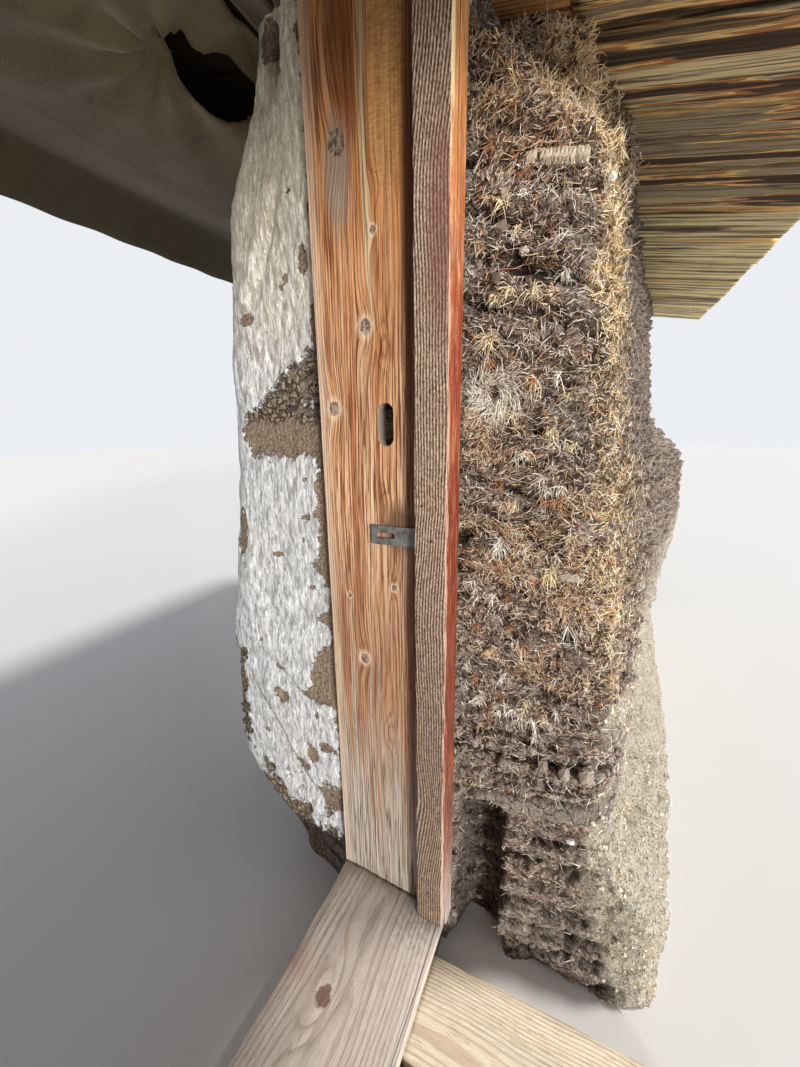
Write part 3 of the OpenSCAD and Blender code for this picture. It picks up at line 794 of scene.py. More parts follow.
def plan_ring(parts, rows):
    """Joins the runs of columns into one ring; also gives which run each column belongs to."""
    full = [[np.broadcast_to(axis, (rows, p[0].shape[1])) for axis in p] for p in parts]
    owner = np.concatenate([np.full(p[0].shape[1], i) for i, p in enumerate(parts)])
    return np.concatenate([p[0] for p in full], 1), np.concatenate([p[1] for p in full], 1), owner


def plan_normals(x, y):
    """Level normals of a ring that runs anticlockwise, from the columns on both sides."""
    dx, dy = np.roll(x, -1, 1) - np.roll(x, 1, 1), np.roll(y, -1, 1) - np.roll(y, 1, 1)
    size = np.maximum(np.hypot(dx, dy), 1e-9)
    return joined(dy / size, -dx / size, 0 * dx)


def turf_outline(z, fine):
    """Plan of one side at heights z (rows, 1): from the back of the jamb round the reveal, the
    worn arris, the outer face and the corner to the end, then back along the room side."""
    xr = reveal_x + 0.17 * fallen(z)
    x0, x1 = xr + arris_r, end_x(z) - corner_r
    y0, y1 = outer_y(x0, z), outer_y(x1, z)
    edge, rx = front_y + 0.01, room_half + plaster_t
    py, cx = room_y(z) - plaster_t, jamb_back + 0.022 + plaster_r
    cr = plaster_r - plaster_t

    def face(count, xa, xb):
        t = np.linspace(0, 1, int(count), endpoint=False)[None, :]
        return xa + (xb - xa) * t, outer_y(xa + (xb - xa) * t, z)

    return plan_ring([
        run(3, (jamb_back, back_y), (jamb_back, edge)),
        run(6 * fine, (jamb_back, edge), (xr, edge)),
        run(58 * fine, (xr, edge), (xr, y0 + arris_r)),
        arc(24 * fine, (xr + arris_r, y0 + arris_r), arris_r, 180, 270),
        face(50 * fine, x0, x0 + 0.45),
        face(74 * fine, x0 + 0.45, x1),
        arc(12 * fine, (x1, y1 + corner_r), corner_r, -90, 0),
        run(26 * fine, (end_x(z), y1 + corner_r), (end_x(z), split_y)),
        run(2, (end_x(z), split_y), (rx, split_y)),
        run(2, (rx, split_y), (rx, py + cove)),
        run(2, (rx, py + cove), (rx - cove, py)),
        run(4, (rx - cove, py), (cx, py)),
        arc(4, (cx, py - cr), cr, 90, 180),
        run(2, (cx - cr, py - cr), (jamb_back, back_y)),
    ], len(z))


course_jog = rng.uniform(-1, 1, 80)
hollow_y, hollow_r = -0.2, 0.06


def turf_relief(p, seed):
    """How far the face stands out at points p, and its masks: washed earth, clay and the painted
    shade of cracks and creases, then straw, rust and dust. Courses sag outwards and waver; torn
    clumps stand out between creases, which are where a noise passes through nought."""
    depth, z = -p[..., 1], p[..., 2]
    sway = (0.018 * lattice(p * (1, 1, 0.3), 0.3, seed) + 0.009 * lattice(p, 0.09, seed + 1)
        + 0.006 * lattice(p, 0.026, seed + 8))
    tilt = 0.55 * ease((z - 0.48) / 0.32) - 0.2
    level = (z + tilt * np.clip(depth - 0.13, 0, 0.5) + sway) / course_h
    course = np.floor(level).astype(int)
    f = level - course
    jog = course_jog[np.clip(course + seed % 7, 0, 79)]
    roll = 1 - np.abs(2 * f - 1) ** 2.4
    face = ease((np.abs(p[..., 0]) - 0.57) / 0.08) * ease((1.93 - z) / 0.05)
    layer = (z + 0.9 * sway) / 0.028
    thin = 1 - np.abs(2 * (layer - np.floor(layer)) - 1) ** 2
    brick = joined((p[..., 0] + p[..., 1]) * 4.2 + course * 7.31, course * 1.7, 0 * f)
    turf = lattice(brick, 1.0, seed + 2)
    lumps = layered(p, 0.06, seed + 3, 3)
    clump = np.abs(lattice(p * (1, 1, 1.5), 0.036, seed + 4))
    small = np.abs(lattice(p, 0.015, seed + 5))
    strong = 0.5 + 0.5 * ease(0.5 + 1.5 * lattice(p * (1, 1, 1.4), 0.2, seed + 9))
    out = (0.004 * jog + 0.026 * strong * (roll - 0.72) + 0.006 * turf + 0.009 * lumps
           + 0.017 * (clump - 0.3) + 0.007 * (small - 0.3))
    wash = (ease((0.93 - z) / 0.22)
        * ease((depth - 0.475 + 0.035 * ease((0.75 - z) / 0.1) + 0.09 * lattice(p, 0.12, seed + 6)) / 0.05))
    out = out + 0.012 * face * (1 - wash) * (thin - 0.6) * (0.7 + 0.6 * lattice(p, 0.1, seed + 18))
    crumbs = lattice(p, 0.019, seed + 15) + 0.8 * lattice(p, 0.011, seed + 16)
    out = out * (1 - 0.35 * wash) + 0.006 * wash * crumbs
    clay_top = 0.478 + 0.2 * (depth - 0.22) + 0.01 * lattice(p, 0.07, seed + 7)
    clay = ease(1 - (np.abs(z - clay_top + 0.026) - 0.02) / 0.008)
    clay = clay * ease((depth - 0.165) / 0.03) * ease((0.62 - depth) / 0.05)
    slit = ease(1 - np.abs(lattice(p * (1, 1, 0.35), 0.06, seed + 10)) / 0.07) * clay
    under = ease((clay_top - 0.05 - z) / 0.03) * ease((z - 0.05) / 0.25) * ease((0.6 - depth) / 0.1)
    out = out * (1 - 0.75 * clay) + 0.01 * clay - 0.004 * slit - 0.022 * under
    # Where near-black painted shade goes: creases between courses and clumps, deep lumps, the face's thin
    # layers and gaps between crumbs on the washed slope.
    crease_shade = (ease((0.52 - roll) / 0.45) * strong + 0.8 * ease((0.13 - clump) / 0.13)
        + ease(-1.6 * lumps - 0.6))
    crease_shade = crease_shade * (1 - 0.5 * face) + 0.9 * face * ease((0.6 - thin) / 0.45)
    crease_shade = np.clip(crease_shade * (1 - clay) * (1 - 0.85 * wash) + 0.5 * wash * ease((-0.7 - crumbs) / 0.3), 0, 1)
    own = course_jog[(np.clip(course, 0, 79) * 7 + seed) % 80]
    rust = ease(0.45 + 1.2 * lattice(p * (0.6, 0.6, 1.6), 0.1, seed + 11) + 0.5 * (0.4 - roll) + 0.7 * own)
    by_clay = (np.exp(-(((z - clay_top - 0.01) / 0.01) ** 2))
        + np.exp(-(((z - clay_top + 0.058) / 0.007) ** 2)))
    rust = np.maximum(rust * (1 - 0.6 * face), np.clip(by_clay, 0, 1) * ease((0.62 - depth) / 0.05))
    straw = (ease((depth - near_y(z) + 0.045 + 0.025 * lattice(p, 0.05, seed + 12)) / 0.04)
        * ease((1.02 - np.abs(p[..., 0])) / 0.36))
    straw = straw * (0.35 * ease((z - 0.7) / 0.2)
        + 0.65 * ease((z - 1.44 + 0.06 * lattice(p, 0.1, seed + 13)) / 0.08))
    straw = np.maximum(straw, 0.9 * fallen(z + 0.02, depth) * ease((depth - 0.2) / 0.07)
        * ease((0.95 - np.abs(p[..., 0])) / 0.1))
    dust = ease((0.92 - z + 0.1 * lattice(p, 0.11, seed + 14)) / 0.25)
    ledge = (0.95 * ease((lattice(p * (1, 1, 2), 0.075, seed + 21) - 0.1 - 0.8 * own) / 0.25)
        * ease((f - 0.3) / 0.3) * (1 - straw))
    dust = np.maximum(np.maximum(dust, ledge), 0.45 * face * (1 - straw))
    return out - 0.009 * straw, joined(wash, clay, crease_shade), joined(straw, rust, dust)


def turf_wall(side, heights, fine, names):
    """One side of the front wall as closed lifts. Gives the pieces and, for the roots that
    grow on them, arrays of points, normals and masks on the faces that show."""
    sign = 1 if side == "right" else -1
    seed = 40 if side == "right" else 53
    made, skin = [], []
    for name, z0, z1 in zip(names, heights[:-1], heights[1:]):
        top = z1 > 2.0
        cut = min(z1, 1.96)
        rows = max(3, int((cut - z0) / 0.0054 * fine))
        z_line = np.linspace(z0, cut, rows)[:, None]
        x, y, owner = turf_outline(z_line, fine)
        z = np.broadcast_to(z_line, x.shape).copy()
        if top:
            gone = fallen(z_line, -y) - fallen(z_line)
            share = (np.arange(len(owner)) - np.searchsorted(owner, owner)) / np.bincount(owner)[owner]
            x = x + 0.15 * gone * np.select([(owner == 2) | (owner == 3), owner == 4], [1, 1 - share], 0)
            y = (y + 0.045 * gone * np.select([owner == 3, owner == 4],
                [share, np.clip(1 - share / 0.55, 0, 1)], 0))
            z = z0 + (z_line - z0) / (cut - z0) * (roof_under(y) - 0.003 - z0)
            y = y + (room_y(z) - room_y(z_line)) * (owner > 9)
        points, normals = joined(x, y, z), plan_normals(x, y)
        out, earth, growth = turf_relief(points * (sign, 1, 1), seed)
        shown = (owner > 0) & (owner < 8)
        calm = np.where(shown, 1.0, 0.0) * np.clip((x - jamb_back) / 0.02, 0, 1)
        out = out * calm
        if top:
            ragged = (0.018 * layered(points * (sign, 1, 1), 0.03, seed + 20, 3)
                * fallen(z_line - 0.03, -y) * calm)
            out = out * ease((roof_under(y) - z) / 0.05) + ragged
        moved = points + normals * out[..., None]
        moved[..., 2] += 0.35 * out * (z > 0.03) * (z < roof_under(y) - 0.05)
        if side == "right":
            across = y - hollow_y + 0.014 * lattice(points, 0.05, 3)
            cap = ease((0.445 - z + 0.012 * lattice(points, 0.03, 4)) / 0.045)
            bite = np.sqrt(np.maximum(hollow_r**2 - across**2, 0)) * cap * np.isin(owner, (1, 2))
            moved[..., 0] += 1.15 * bite
            # Inside the hollow the third earth mask is raised, so the hollow is painted dark as shade.
            earth[..., 2] = np.maximum(earth[..., 2] * (bite < 0.005), 0.75 * np.clip(bite / 0.03, 0, 1))
            growth[..., :2] *= 1 - np.clip(bite / 0.02, 0, 1)[..., None]
        moved[..., 2] = np.maximum(moved[..., 2], 0.0)
        moved = moved * (sign, 1, 1)
        piece = make_mesh(name, moved, *ring_faces(*x.shape, flip=sign < 0))
        tint(piece, "earth", earth)
        tint(piece, "growth", growth)
        made.append(piece)
        keep = np.broadcast_to((owner >= 2) & (owner < 8), x.shape)
        skin.append([v[keep] for v in (moved, normals * (sign, 1, 1), earth, growth)]
                    + [np.broadcast_to(owner, x.shape)[keep]])
    return made, [np.concatenate([lift[i] for lift in skin]) for i in range(5)]


lift_names = ("foot", "lower", "middle", "upper", "top")
lift_heights = [0.0, 0.38, 0.855, 1.33, 1.71, 2.4]
right_lifts, right_skin = turf_wall("right", lift_heights, 1.0, [f"right_{n}_turves" for n in lift_names])
left_lifts, left_skin = turf_wall("left", lift_heights, 0.48, [f"left_{n}_turves" for n in lift_names])
for side, lifts in (("right", right_lifts), ("left", left_lifts)):
    for word, piece in zip(lift_names, lifts):
        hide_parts(f"{side}_wall_{word}")


def matted_roots_group():
    """Fine matted fibres: thin streaks of noise laid over each other in five directions, on a
    place that is bent from spot to spot. Tone says which layer lies on top, and Clump is the
    coarser earth between them."""
    tree, given, result = new_group(
        "matted_roots", (("Place", None), ("Fineness", 260.0)), ("Fibre", "Tone", "Clump"))
    bend = noise(given["Place"], 42.0, 2.0, 0.5, out=1)
    moved = given["Place"] + (bend - (0.5, 0.5, 0.5)) * (0.03, 0.03, 0.03)
    fibre, tone = 0.0, 0.5
    for turn, shade in (((0.3, 0.2, 0.1), 0.15), ((1.3, -0.3, 0.8), 0.55), ((-0.7, 0.4, -0.6), 0.85),
                        ((1.6, 0.6, 0.4), 0.3), ((-1.2, 0.1, 1.3), 1.0)):
        laid = add("Mapping", {"Vector": moved, "Rotation": turn, "Scale": (1.0, 1.0, 8.0)},
            vector_type="TEXTURE")
        one = spread(noise(laid, given["Fineness"], 1.0), 0.57, 0.66)
        fibre = maths("MAXIMUM", one, fibre)
        tone = add("Mix", {0: one, 2: tone, 3: shade}, data_type="FLOAT")
    feed(result["Fibre"], fibre)
    feed(result["Tone"], tone)
    feed(result["Clump"], noise(given["Place"], 38.0, 7.0, 0.75))
    return tree


matted_roots = matted_roots_group()


def earth_look(name):
    """Root-bound turf: dark earth and near-black painted shade in the cracks and creases, brown and
    pinkish-grey matted roots, straw on the arris, dust lower down, bare sandy earth where it is
    washed, and one grey clay course."""
    material, shader, here = plain_surface(name)
    roots = placed(matted_roots, Place=here, Fineness=300.0)
    wash, clay, crease_shade = stored("earth")
    straw, rust, dust = stored("growth")
    clump = spread(roots["Clump"], 0.38, 0.64)
    soil = mix(clump, (0.04, 0.024, 0.018), (0.33, 0.25, 0.205))
    hair = ramp(roots["Tone"],
        [(0.1, (0.28, 0.16, 0.105)), (0.35, (0.56, 0.4, 0.3)), (0.6, (0.8, 0.66, 0.54)),
        (1.0, (1.0, 0.92, 0.79))])
    rusty = ramp(roots["Tone"],
        [(0.1, (0.28, 0.115, 0.05)), (0.45, (0.6, 0.3, 0.14)), (1.0, (0.88, 0.64, 0.4))])
    hair = mix(rust * 0.55, hair, rusty)
    golden = ramp(roots["Tone"],
        [(0.1, (0.52, 0.31, 0.13)), (0.5, (0.9, 0.66, 0.34)), (1.0, (1.0, 0.88, 0.58))])
    hair = mix(straw, hair, golden)
    turf = mix(roots["Fibre"], soil, hair)
    turf = mix(straw * 0.55, turf, (0.66, 0.42, 0.17))
    powder = ramp(noise(here, 90.0, 8.0, 0.85),
        [(0.4, (0.055, 0.04, 0.034)), (0.5, (0.46, 0.37, 0.325)), (0.57, (1.0, 0.88, 0.79))])
    turf = mix(dust * maths("MULTIPLY_ADD", roots["Fibre"], -0.45, 0.75), turf, powder)
    layers = noise(here * (0.25, 0.25, 1), 130.0, 4.0, 0.65, 0.6)
    turf = mix(spread(layers, 0.47, 0.4) * 0.75, turf, (0.045, 0.028, 0.021))
    grain = noise(here, 120.0, 8.0, 0.85)
    jog = noise(here, 90.0, 2.0, 0.5, out=1) * (0.012, 0.012, 0.012)
    bits = {"Vector": here + jog, "Scale": 105.0}
    gaps = spread(add("TexVoronoi", bits, feature="DISTANCE_TO_EDGE"), 0.0, 0.055)
    each = split(add("TexVoronoi", bits, out="Color"), "Color")[0]
    sand = ramp(each, [(0.0, (0.84, 0.68, 0.48)), (0.5, (1.0, 0.89, 0.7)), (1.0, (1.0, 0.97, 0.86))])
    sand = mix(spread(grain, 0.46, 0.32), sand, (0.56, 0.45, 0.33))
    # Painted shade: the gaps between the crumbs of washed earth are darker.
    sand = mix(gaps, (0.36, 0.26, 0.17), sand)
    speck = noise(here, 190.0, 3.0, 0.75)
    sand = mix(spread(speck, 0.42, 0.38) * 0.9, sand, (0.13, 0.085, 0.055))
    sand = mix(spread(speck, 0.5, 0.56) * 0.8, sand, (1.0, 0.95, 0.8))
    cracks = add("TexVoronoi", {"Vector": here + jog, "Scale": 31.0}, feature="DISTANCE_TO_EDGE")
    lines = spread(cracks, 0.006, 0.04)
    grey = mix(lines, (0.09, 0.068, 0.055),
        mix(spread(grain, 0.38, 0.62), (0.38, 0.32, 0.27), (0.72, 0.63, 0.55)))
    colour = mix(wash, turf, sand)
    colour = mix(clay, colour, grey)
    # Painted shade: near black in the cracks and creases.
    colour = mix(crease_shade * 0.85, colour, (0.022, 0.014, 0.01))
    height = roots["Fibre"] * 0.8 + clump * 1.2
    height = height + grain * 1.0
    height = height + gaps * wash * 1.0
    height = height + lines * clay * 0.8
    coat(shader, {"Base Color": colour, "Roughness": 0.95, "Specular IOR Level": 0.15},
        (height, 1.0, 0.007))
    return material


turf_earth = earth_look("turf_earth")
for piece in right_lifts + left_lifts:
    piece.data.materials.append(turf_earth)

# Roots and straw. Short root hairs cover the torn turves and lie along the courses; tufts of
# pale, golden and rusty roots burst out at the joints, and dead straw mats the arris.
def spikes(name, roots, lean, length, thick, colour):
    """Short hairs in one mesh: each is a three-sided point with its base inside the earth."""
    lean = unit(lean)
    u = unit(np.cross(lean, rng.normal(size=lean.shape)))
    v = np.cross(lean, u)
    points = np.empty((len(roots), 4, 3))
    for i, a in enumerate((0, 2 * np.pi / 3, 4 * np.pi / 3)):
        points[:, i] = roots - lean * 0.003 + (u * math.cos(a) + v * math.sin(a)) * thick[:, None]
    points[:, 3] = roots + lean * length[:, None]
    points[..., 2] = np.maximum(points[..., 2], 0.001)
    sides = (np.array([[0, 1, 3], [1, 2, 3], [2, 0, 3], [2, 1, 0]])
        + 4 * np.arange(len(roots))[:, None, None])
    piece = make_mesh(name, points, sides.reshape(-1, 3), smooth=False)
    fade = np.array([0.6, 0.6, 0.6, 1.2])[None, :, None]
    tint(piece, "strand", np.clip(colour[:, None] * fade, 0, 1))
    piece.data.materials.append(root_strands)


def strands(name, roots, lean, length, thick, droop, colour):
    """Thin tapering strands in one mesh. Each starts a little inside the earth at its root,
    leaves along lean, bends down by droop of its length at the middle and more at its tip, and
    is a three-sided spike with one bend: two rings of three points and a tip."""
    n = len(roots)
    lean = unit(lean)
    down = np.array([0, 0, -1.0])
    side = rng.normal(size=(n, 3))
    middle = (roots + lean * (0.5 * length)[:, None] + down * (0.25 * droop * length)[:, None]
        + side * (0.1 * length)[:, None])
    tip = roots + lean * (0.92 * length)[:, None] + down * (droop * length)[:, None]
    u = unit(np.cross(lean, rng.normal(size=(n, 3))))
    v = np.cross(lean, u)
    points = np.empty((n, 7, 3))
    for i, a in enumerate((0, 2 * np.pi / 3, 4 * np.pi / 3)):
        offset = (u * math.cos(a) + v * math.sin(a)) * thick[:, None]
        points[:, i] = roots - lean * 0.004 + offset
        points[:, 3 + i] = middle + 0.7 * offset
    points[:, 6] = tip
    points[..., 2] = np.maximum(points[..., 2], 0.001)
    base = (np.arange(n) * 7)[:, None]
    quads = np.array([[0, 1, 4, 3], [1, 2, 5, 4], [2, 0, 3, 5]])
    tips = np.array([[3, 4, 6], [4, 5, 6], [5, 3, 6], [2, 1, 0]])
    piece = make_mesh(name, points, (quads[None] + base[:, None]).reshape(-1, 4),
                      (tips[None] + base[:, None]).reshape(-1, 3), smooth=False)
    fade = np.array([0.68, 0.68, 0.68, 1.0, 1.0, 1.0, 1.15])[None, :, None]
    tint(piece, "strand", np.clip(colour[:, None] * fade, 0, 1))
    piece.data.materials.append(root_strands)


def strand_look():
    """Dry roots and stems: each strand's own colour, mottled along its length."""
    material, shader, here = plain_surface("root_strands")
    own = add("Attribute", attribute_name="strand")
    mottle = spread(noise(here, 220.0, 3.0), 0.3, 0.7)
    dim = add("HueSaturation", {"Color": own, "Value": maths("MULTIPLY_ADD", mottle, 0.6, 0.7)})
    coat(shader, {"Base Color": dim, "Roughness": 0.85, "Specular IOR Level": 0.2})
    return material


root_strands = strand_look()
tone_names = ("dark", "brown", "grey", "rust", "tan", "straw", "pale", "gold")
tones = dict(zip(tone_names, np.array([
    (0.075, 0.045, 0.033), (0.36, 0.235, 0.17), (0.7, 0.59, 0.53), (0.54, 0.26, 0.13),
    (0.84, 0.62, 0.42), (1.0, 0.82, 0.56), (1.0, 0.94, 0.82), (1.0, 0.69, 0.36)])))


def tone_of(points, growth, seed):
    """A tone for each strand: the mix follows the straw, rust and dust masks, and neighbours
    tend to match, because the draw is half chance and half noise."""
    table = (np.array([0.27, 0.2, 0.18, 0.07, 0.12, 0.03, 0.12, 0.01])
             + growth[:, 0:1] * np.array([-0.2, -0.2, -0.1, 0.0, 0.35, 0.75, 0.3, 0.45])
             + growth[:, 1:2] * np.array([0, 0, -0.08, 0.15, 0.12, 0.05, 0.03, 0.1])
             + growth[:, 2:3] * np.array([0.05, 0.0, 0.28, 0.0, 0, -0.03, 0.2, -0.02]))
    table = np.clip(table, 0, None)
    table /= table.sum(1, keepdims=True)
    draw = np.clip(0.5 + 0.9 * lattice(points, 0.022, seed), 0, 1)
    draw = (0.45 * draw + rng.random(len(points))) % 1.0
    choice = np.clip((np.cumsum(table, 1) < draw[:, None]).sum(1), 0, 7)
    return np.array([tones[k] for k in tone_names])[choice] * rng.uniform(0.8, 1.2, (len(points), 1))


def level_way(normals):
    """The way along the wall, level and square to its normal."""
    return unit(np.cross(normals, (0, 0, 1.0)))


def grow(name, skin, count, where, size, seed, proud=(0.05, 0.55)):
    """Hairs on a wall's skin: where weighs each point. Most lie near the level of the courses,
    and the lie swings with noise, so that neighbours lean alike."""
    spots, normals, earth, growth, owner = skin
    weight = where(spots, earth, growth, owner)
    picked = rng.choice(len(spots), count, p=weight / weight.sum())
    p, n, g = spots[picked] + rng.normal(0, 0.003, (count, 3)), normals[picked], growth[picked]
    swing = 1.5 * lattice(p, 0.05, seed) + rng.normal(0, 0.75, count) + np.pi * rng.integers(0, 2, count)
    lean = level_way(n) * np.cos(swing)[:, None] + np.array([0, 0, 1.0]) * np.sin(swing)[:, None]
    lean = lean + n * rng.uniform(*proud, count)[:, None]
    long = size * np.exp(rng.normal(0, 0.4, count))
    spikes(name, p, lean, long, rng.uniform(0.0008, 0.0014, count), tone_of(p, g, seed + 2))


def on_reveal(p, earth, growth, owner):
    keep = (((owner < 4) | (np.abs(p[:, 0]) < 0.62)) * (1 - 0.97 * earth[:, 0] * (p[:, 2] < 0.9))
        * (1 - 0.92 * earth[:, 1]))
    keep = keep * (1 + 2.5 * (growth[:, 1] > 0.93))
    return (keep * (1 - 0.93 * earth[:, 2]) * (1 - 0.52 * growth[:, 2])
        * (0.25 + ease((p[:, 2] - 0.1) / 0.5)) + 1e-9)


def on_face(p, earth, growth, owner):
    near = 1 + 4 * ease((1.2 - np.abs(p[:, 0])) / 0.3)
    return (near * (owner > 3) * (np.abs(p[:, 0]) > 0.6) * (1 - 0.97 * earth[:, 0])
        * (1 - 0.9 * earth[:, 2]) + 1e-9)


grow("root_hairs_right_reveal", right_skin, 30000, on_reveal, 0.0115, 61)
grow("root_hairs_right_face", right_skin, 8000, on_face, 0.012, 65, proud=(0.0, 0.3))
grow("root_hairs_left_reveal", left_skin, 4500, on_reveal, 0.016, 67)
grow("root_hairs_left_face", left_skin, 3500, on_face, 0.018, 69, proud=(0.0, 0.4))


def tufts(name, skin, places, hairs, long, names):
    """Star-like tufts: hairs of one tone fan out of each place and droop towards their tips.
    A place is (depth, height) on the reveal, and sits on the skin's nearest point."""
    spots, normals, _, _, owner = skin
    flat = spots[owner == 2][:, 1:]
    nearest = np.array([np.argmin(np.hypot(flat[:, 0] - y, flat[:, 1] - z)) for y, z in places])
    centre, n = (np.repeat(v[owner == 2][nearest], hairs, 0) for v in (spots, normals))
    count = len(centre)
    fan = rng.normal(0, 1.0, count)
    lean = n * rng.uniform(0.35, 1.0, (count, 1)) + level_way(n) * fan[:, None] * 0.8
    lean = lean + np.array([0, 0, 1.0]) * rng.normal(-0.25, 0.55, (count, 1))
    own = np.array([tones[k] for k in names])[rng.integers(0, len(names), len(places))].repeat(hairs, 0)
    colour = own * rng.uniform(0.7, 1.25, (count, 1))
    size = (long * np.exp(rng.normal(0, 0.25, len(places)))).repeat(hairs) * rng.uniform(0.6, 1.15, count)
    strands(name, centre + rng.normal(0, 0.004, (count, 3)), lean, size,
        rng.uniform(0.0007, 0.0011, count), rng.uniform(0.1, 0.75, count), colour)


many = rng.uniform((-0.36, 0.62), (-0.15, 1.78), (110, 2))
tufts("root_tufts_right", right_skin, many, 18, 0.02, ("pale", "pale", "straw", "rust", "tan", "pale"))
tufts("root_bursts_right", right_skin,
    [(-0.2, 1.671), (-0.19, 1.522), (-0.257, 1.529), (-0.215, 1.535), (-0.18, 1.46), (-0.218, 1.085),
    (-0.262, 1.065), (-0.316, 1.035), (-0.17, 1.37), (-0.3, 1.3)], 40, 0.03, ("pale", "pale", "straw"))
tufts("root_tufts_left", left_skin, many[::3], 14, 0.026, ("pale", "tan", "gold", "rust"))


def sweep():
    """One great pale tuft beside the stop: long roots curl round a torn turf like a nest. Each
    starts on a ring and leaves along it, half turned outwards."""
    count = 320
    turn, reach = rng.uniform(0, 2 * np.pi, count), rng.uniform(0.012, 0.044, count)
    y, z = -0.192 + 1.1 * reach * np.cos(turn), 1.368 + 0.95 * reach * np.sin(turn)
    roots = joined(reveal_x - 0.004 + 0 * y, y, z)
    aim = joined(rng.uniform(-0.6, -0.15, count), 0.5 * np.cos(turn) - np.sin(turn),
        np.cos(turn) + 0.5 * np.sin(turn))
    aim = aim + rng.normal(0, 0.28, aim.shape)
    strands("root_sweep_right", roots, aim, rng.uniform(0.02, 0.05, count),
        rng.uniform(0.0006, 0.001, count), rng.uniform(0.1, 0.7, count),
        tones["pale"] * rng.uniform(0.6, 1.1, (count, 1)))


def arris_straw(name, skin, count):
    """Dead straw matted on the arris and standing out at its broken head."""
    spots, normals, _, growth, owner = skin
    high_up = spots[:, 2] > 1.78
    weight = ((growth[:, 0] + 0.5 * high_up) * np.isin(owner, (2, 3, 4)) * (0.6 + (owner == 3))
        * (1 + 1.5 * high_up))
    weight = weight + 1e-12
    picked = rng.choice(len(spots), count, p=weight / weight.sum())
    p, n = spots[picked] + rng.normal(0, 0.003, (count, 3)), normals[picked]
    lean = n * rng.uniform(0.0, 0.6, (count, 1)) + rng.normal(0, 0.6, (count, 3)) + np.array([0, 0, 0.15])
    mixed = np.array([tones[k]
        for k in ("straw", "tan", "gold", "gold", "straw", "brown")])[rng.integers(0, 6, count)]
    strands(name, p, lean, 0.018 * np.exp(rng.normal(0, 0.35, count)),
        rng.uniform(0.0008, 0.0012, count), rng.uniform(-0.2, 0.5, count),
        mixed * rng.uniform(0.75, 1.15, (count, 1)))


sweep()
arris_straw("arris_straw_right", right_skin, 4600)
arris_straw("arris_straw_left", left_skin, 1000)


# Clods. Lumps of grey and brown earth, a few as big as an egg, stick out of the torn turves, and
# crumbs lie on the washed slope; a pale block of bark and two white lumps of lime sit higher up.
def clods(name, centres, sizes, colour, straight=0, blocks=0):
    """Angular lumps: four rings of six points on a ball, each point pushed in or out by chance,
    stretched to its three sizes and turned at random. The last ones, straight, are smoother and
    aren't turned, and the last of these, blocks, are pushed out to a squarish shape."""
    n = len(centres)
    lat = np.radians(np.array([-58, -18, 22, 60]))[:, None]
    lon = np.radians(np.arange(0, 360, 60))[None, :] + np.array([0, 0.5, 0, 0.5])[:, None]
    ball = joined(np.cos(lat) * np.cos(lon), np.cos(lat) * np.sin(lon),
        np.sin(lat) + 0 * lon).reshape(1, 24, 3)
    turned = np.linalg.qr(rng.normal(size=(n, 3, 3)))[0]
    turned[:, :, 0] *= np.sign(np.linalg.det(turned))[:, None]
    turned[n - straight:] = np.eye(3)
    shape = ball * rng.uniform(0.74, 1.18, (n, 24, 1))
    shape[n - straight:] = 0.6 * ball + 0.4 * shape[n - straight:]
    shape[n - blocks:] *= 0.84 / np.abs(ball).max(-1, keepdims=True)
    points = np.einsum("nij,nkj->nki", turned, shape) * np.asarray(sizes)[:, None, :] + centres[:, None, :]
    points[..., 2] = np.maximum(points[..., 2], 0.001)
    quads, low, high = ring_faces(4, 6)
    base = 24 * np.arange(n)[:, None, None]
    piece = make_mesh(name, points, (quads + base).reshape(-1, 4), (low + base).reshape(-1, 6),
                      (high + base).reshape(-1, 6), smooth=False)
    tint(piece, "strand", np.repeat(colour, 24, 0))
    return piece


def clod_look():
    """Dry lumps: each one's own colour under dust and fine cracks."""
    material, shader, here = plain_surface("dry_clods")
    own = add("Attribute", attribute_name="strand")
    grit = noise(here, 260.0, 6.0, 0.75)
    dim = add("HueSaturation",
        {"Color": own, "Value": maths("MULTIPLY_ADD", spread(grit, 0.35, 0.65), 0.75, 0.55)})
    coat(shader, {"Base Color": dim, "Roughness": 0.95, "Specular IOR Level": 0.15}, (grit, 0.8, 0.002))
    return material


def strewn(skin, count, weight, size, shades):
    """Centres, sizes and colours of clods scattered on a skin by weight."""
    spots, normals = skin[0], skin[1]
    picked = rng.choice(len(spots), count, p=weight / weight.sum())
    scale = size * np.exp(rng.normal(0, 0.32, (count, 1)))
    sizes = scale * rng.uniform(0.7, 1.15, (count, 3))
    centres = spots[picked] + normals[picked] * 0.35 * scale
    colour = np.array(shades)[rng.integers(0, len(shades), count)] * rng.uniform(0.8, 1.2, (count, 1))
    return centres, sizes, colour


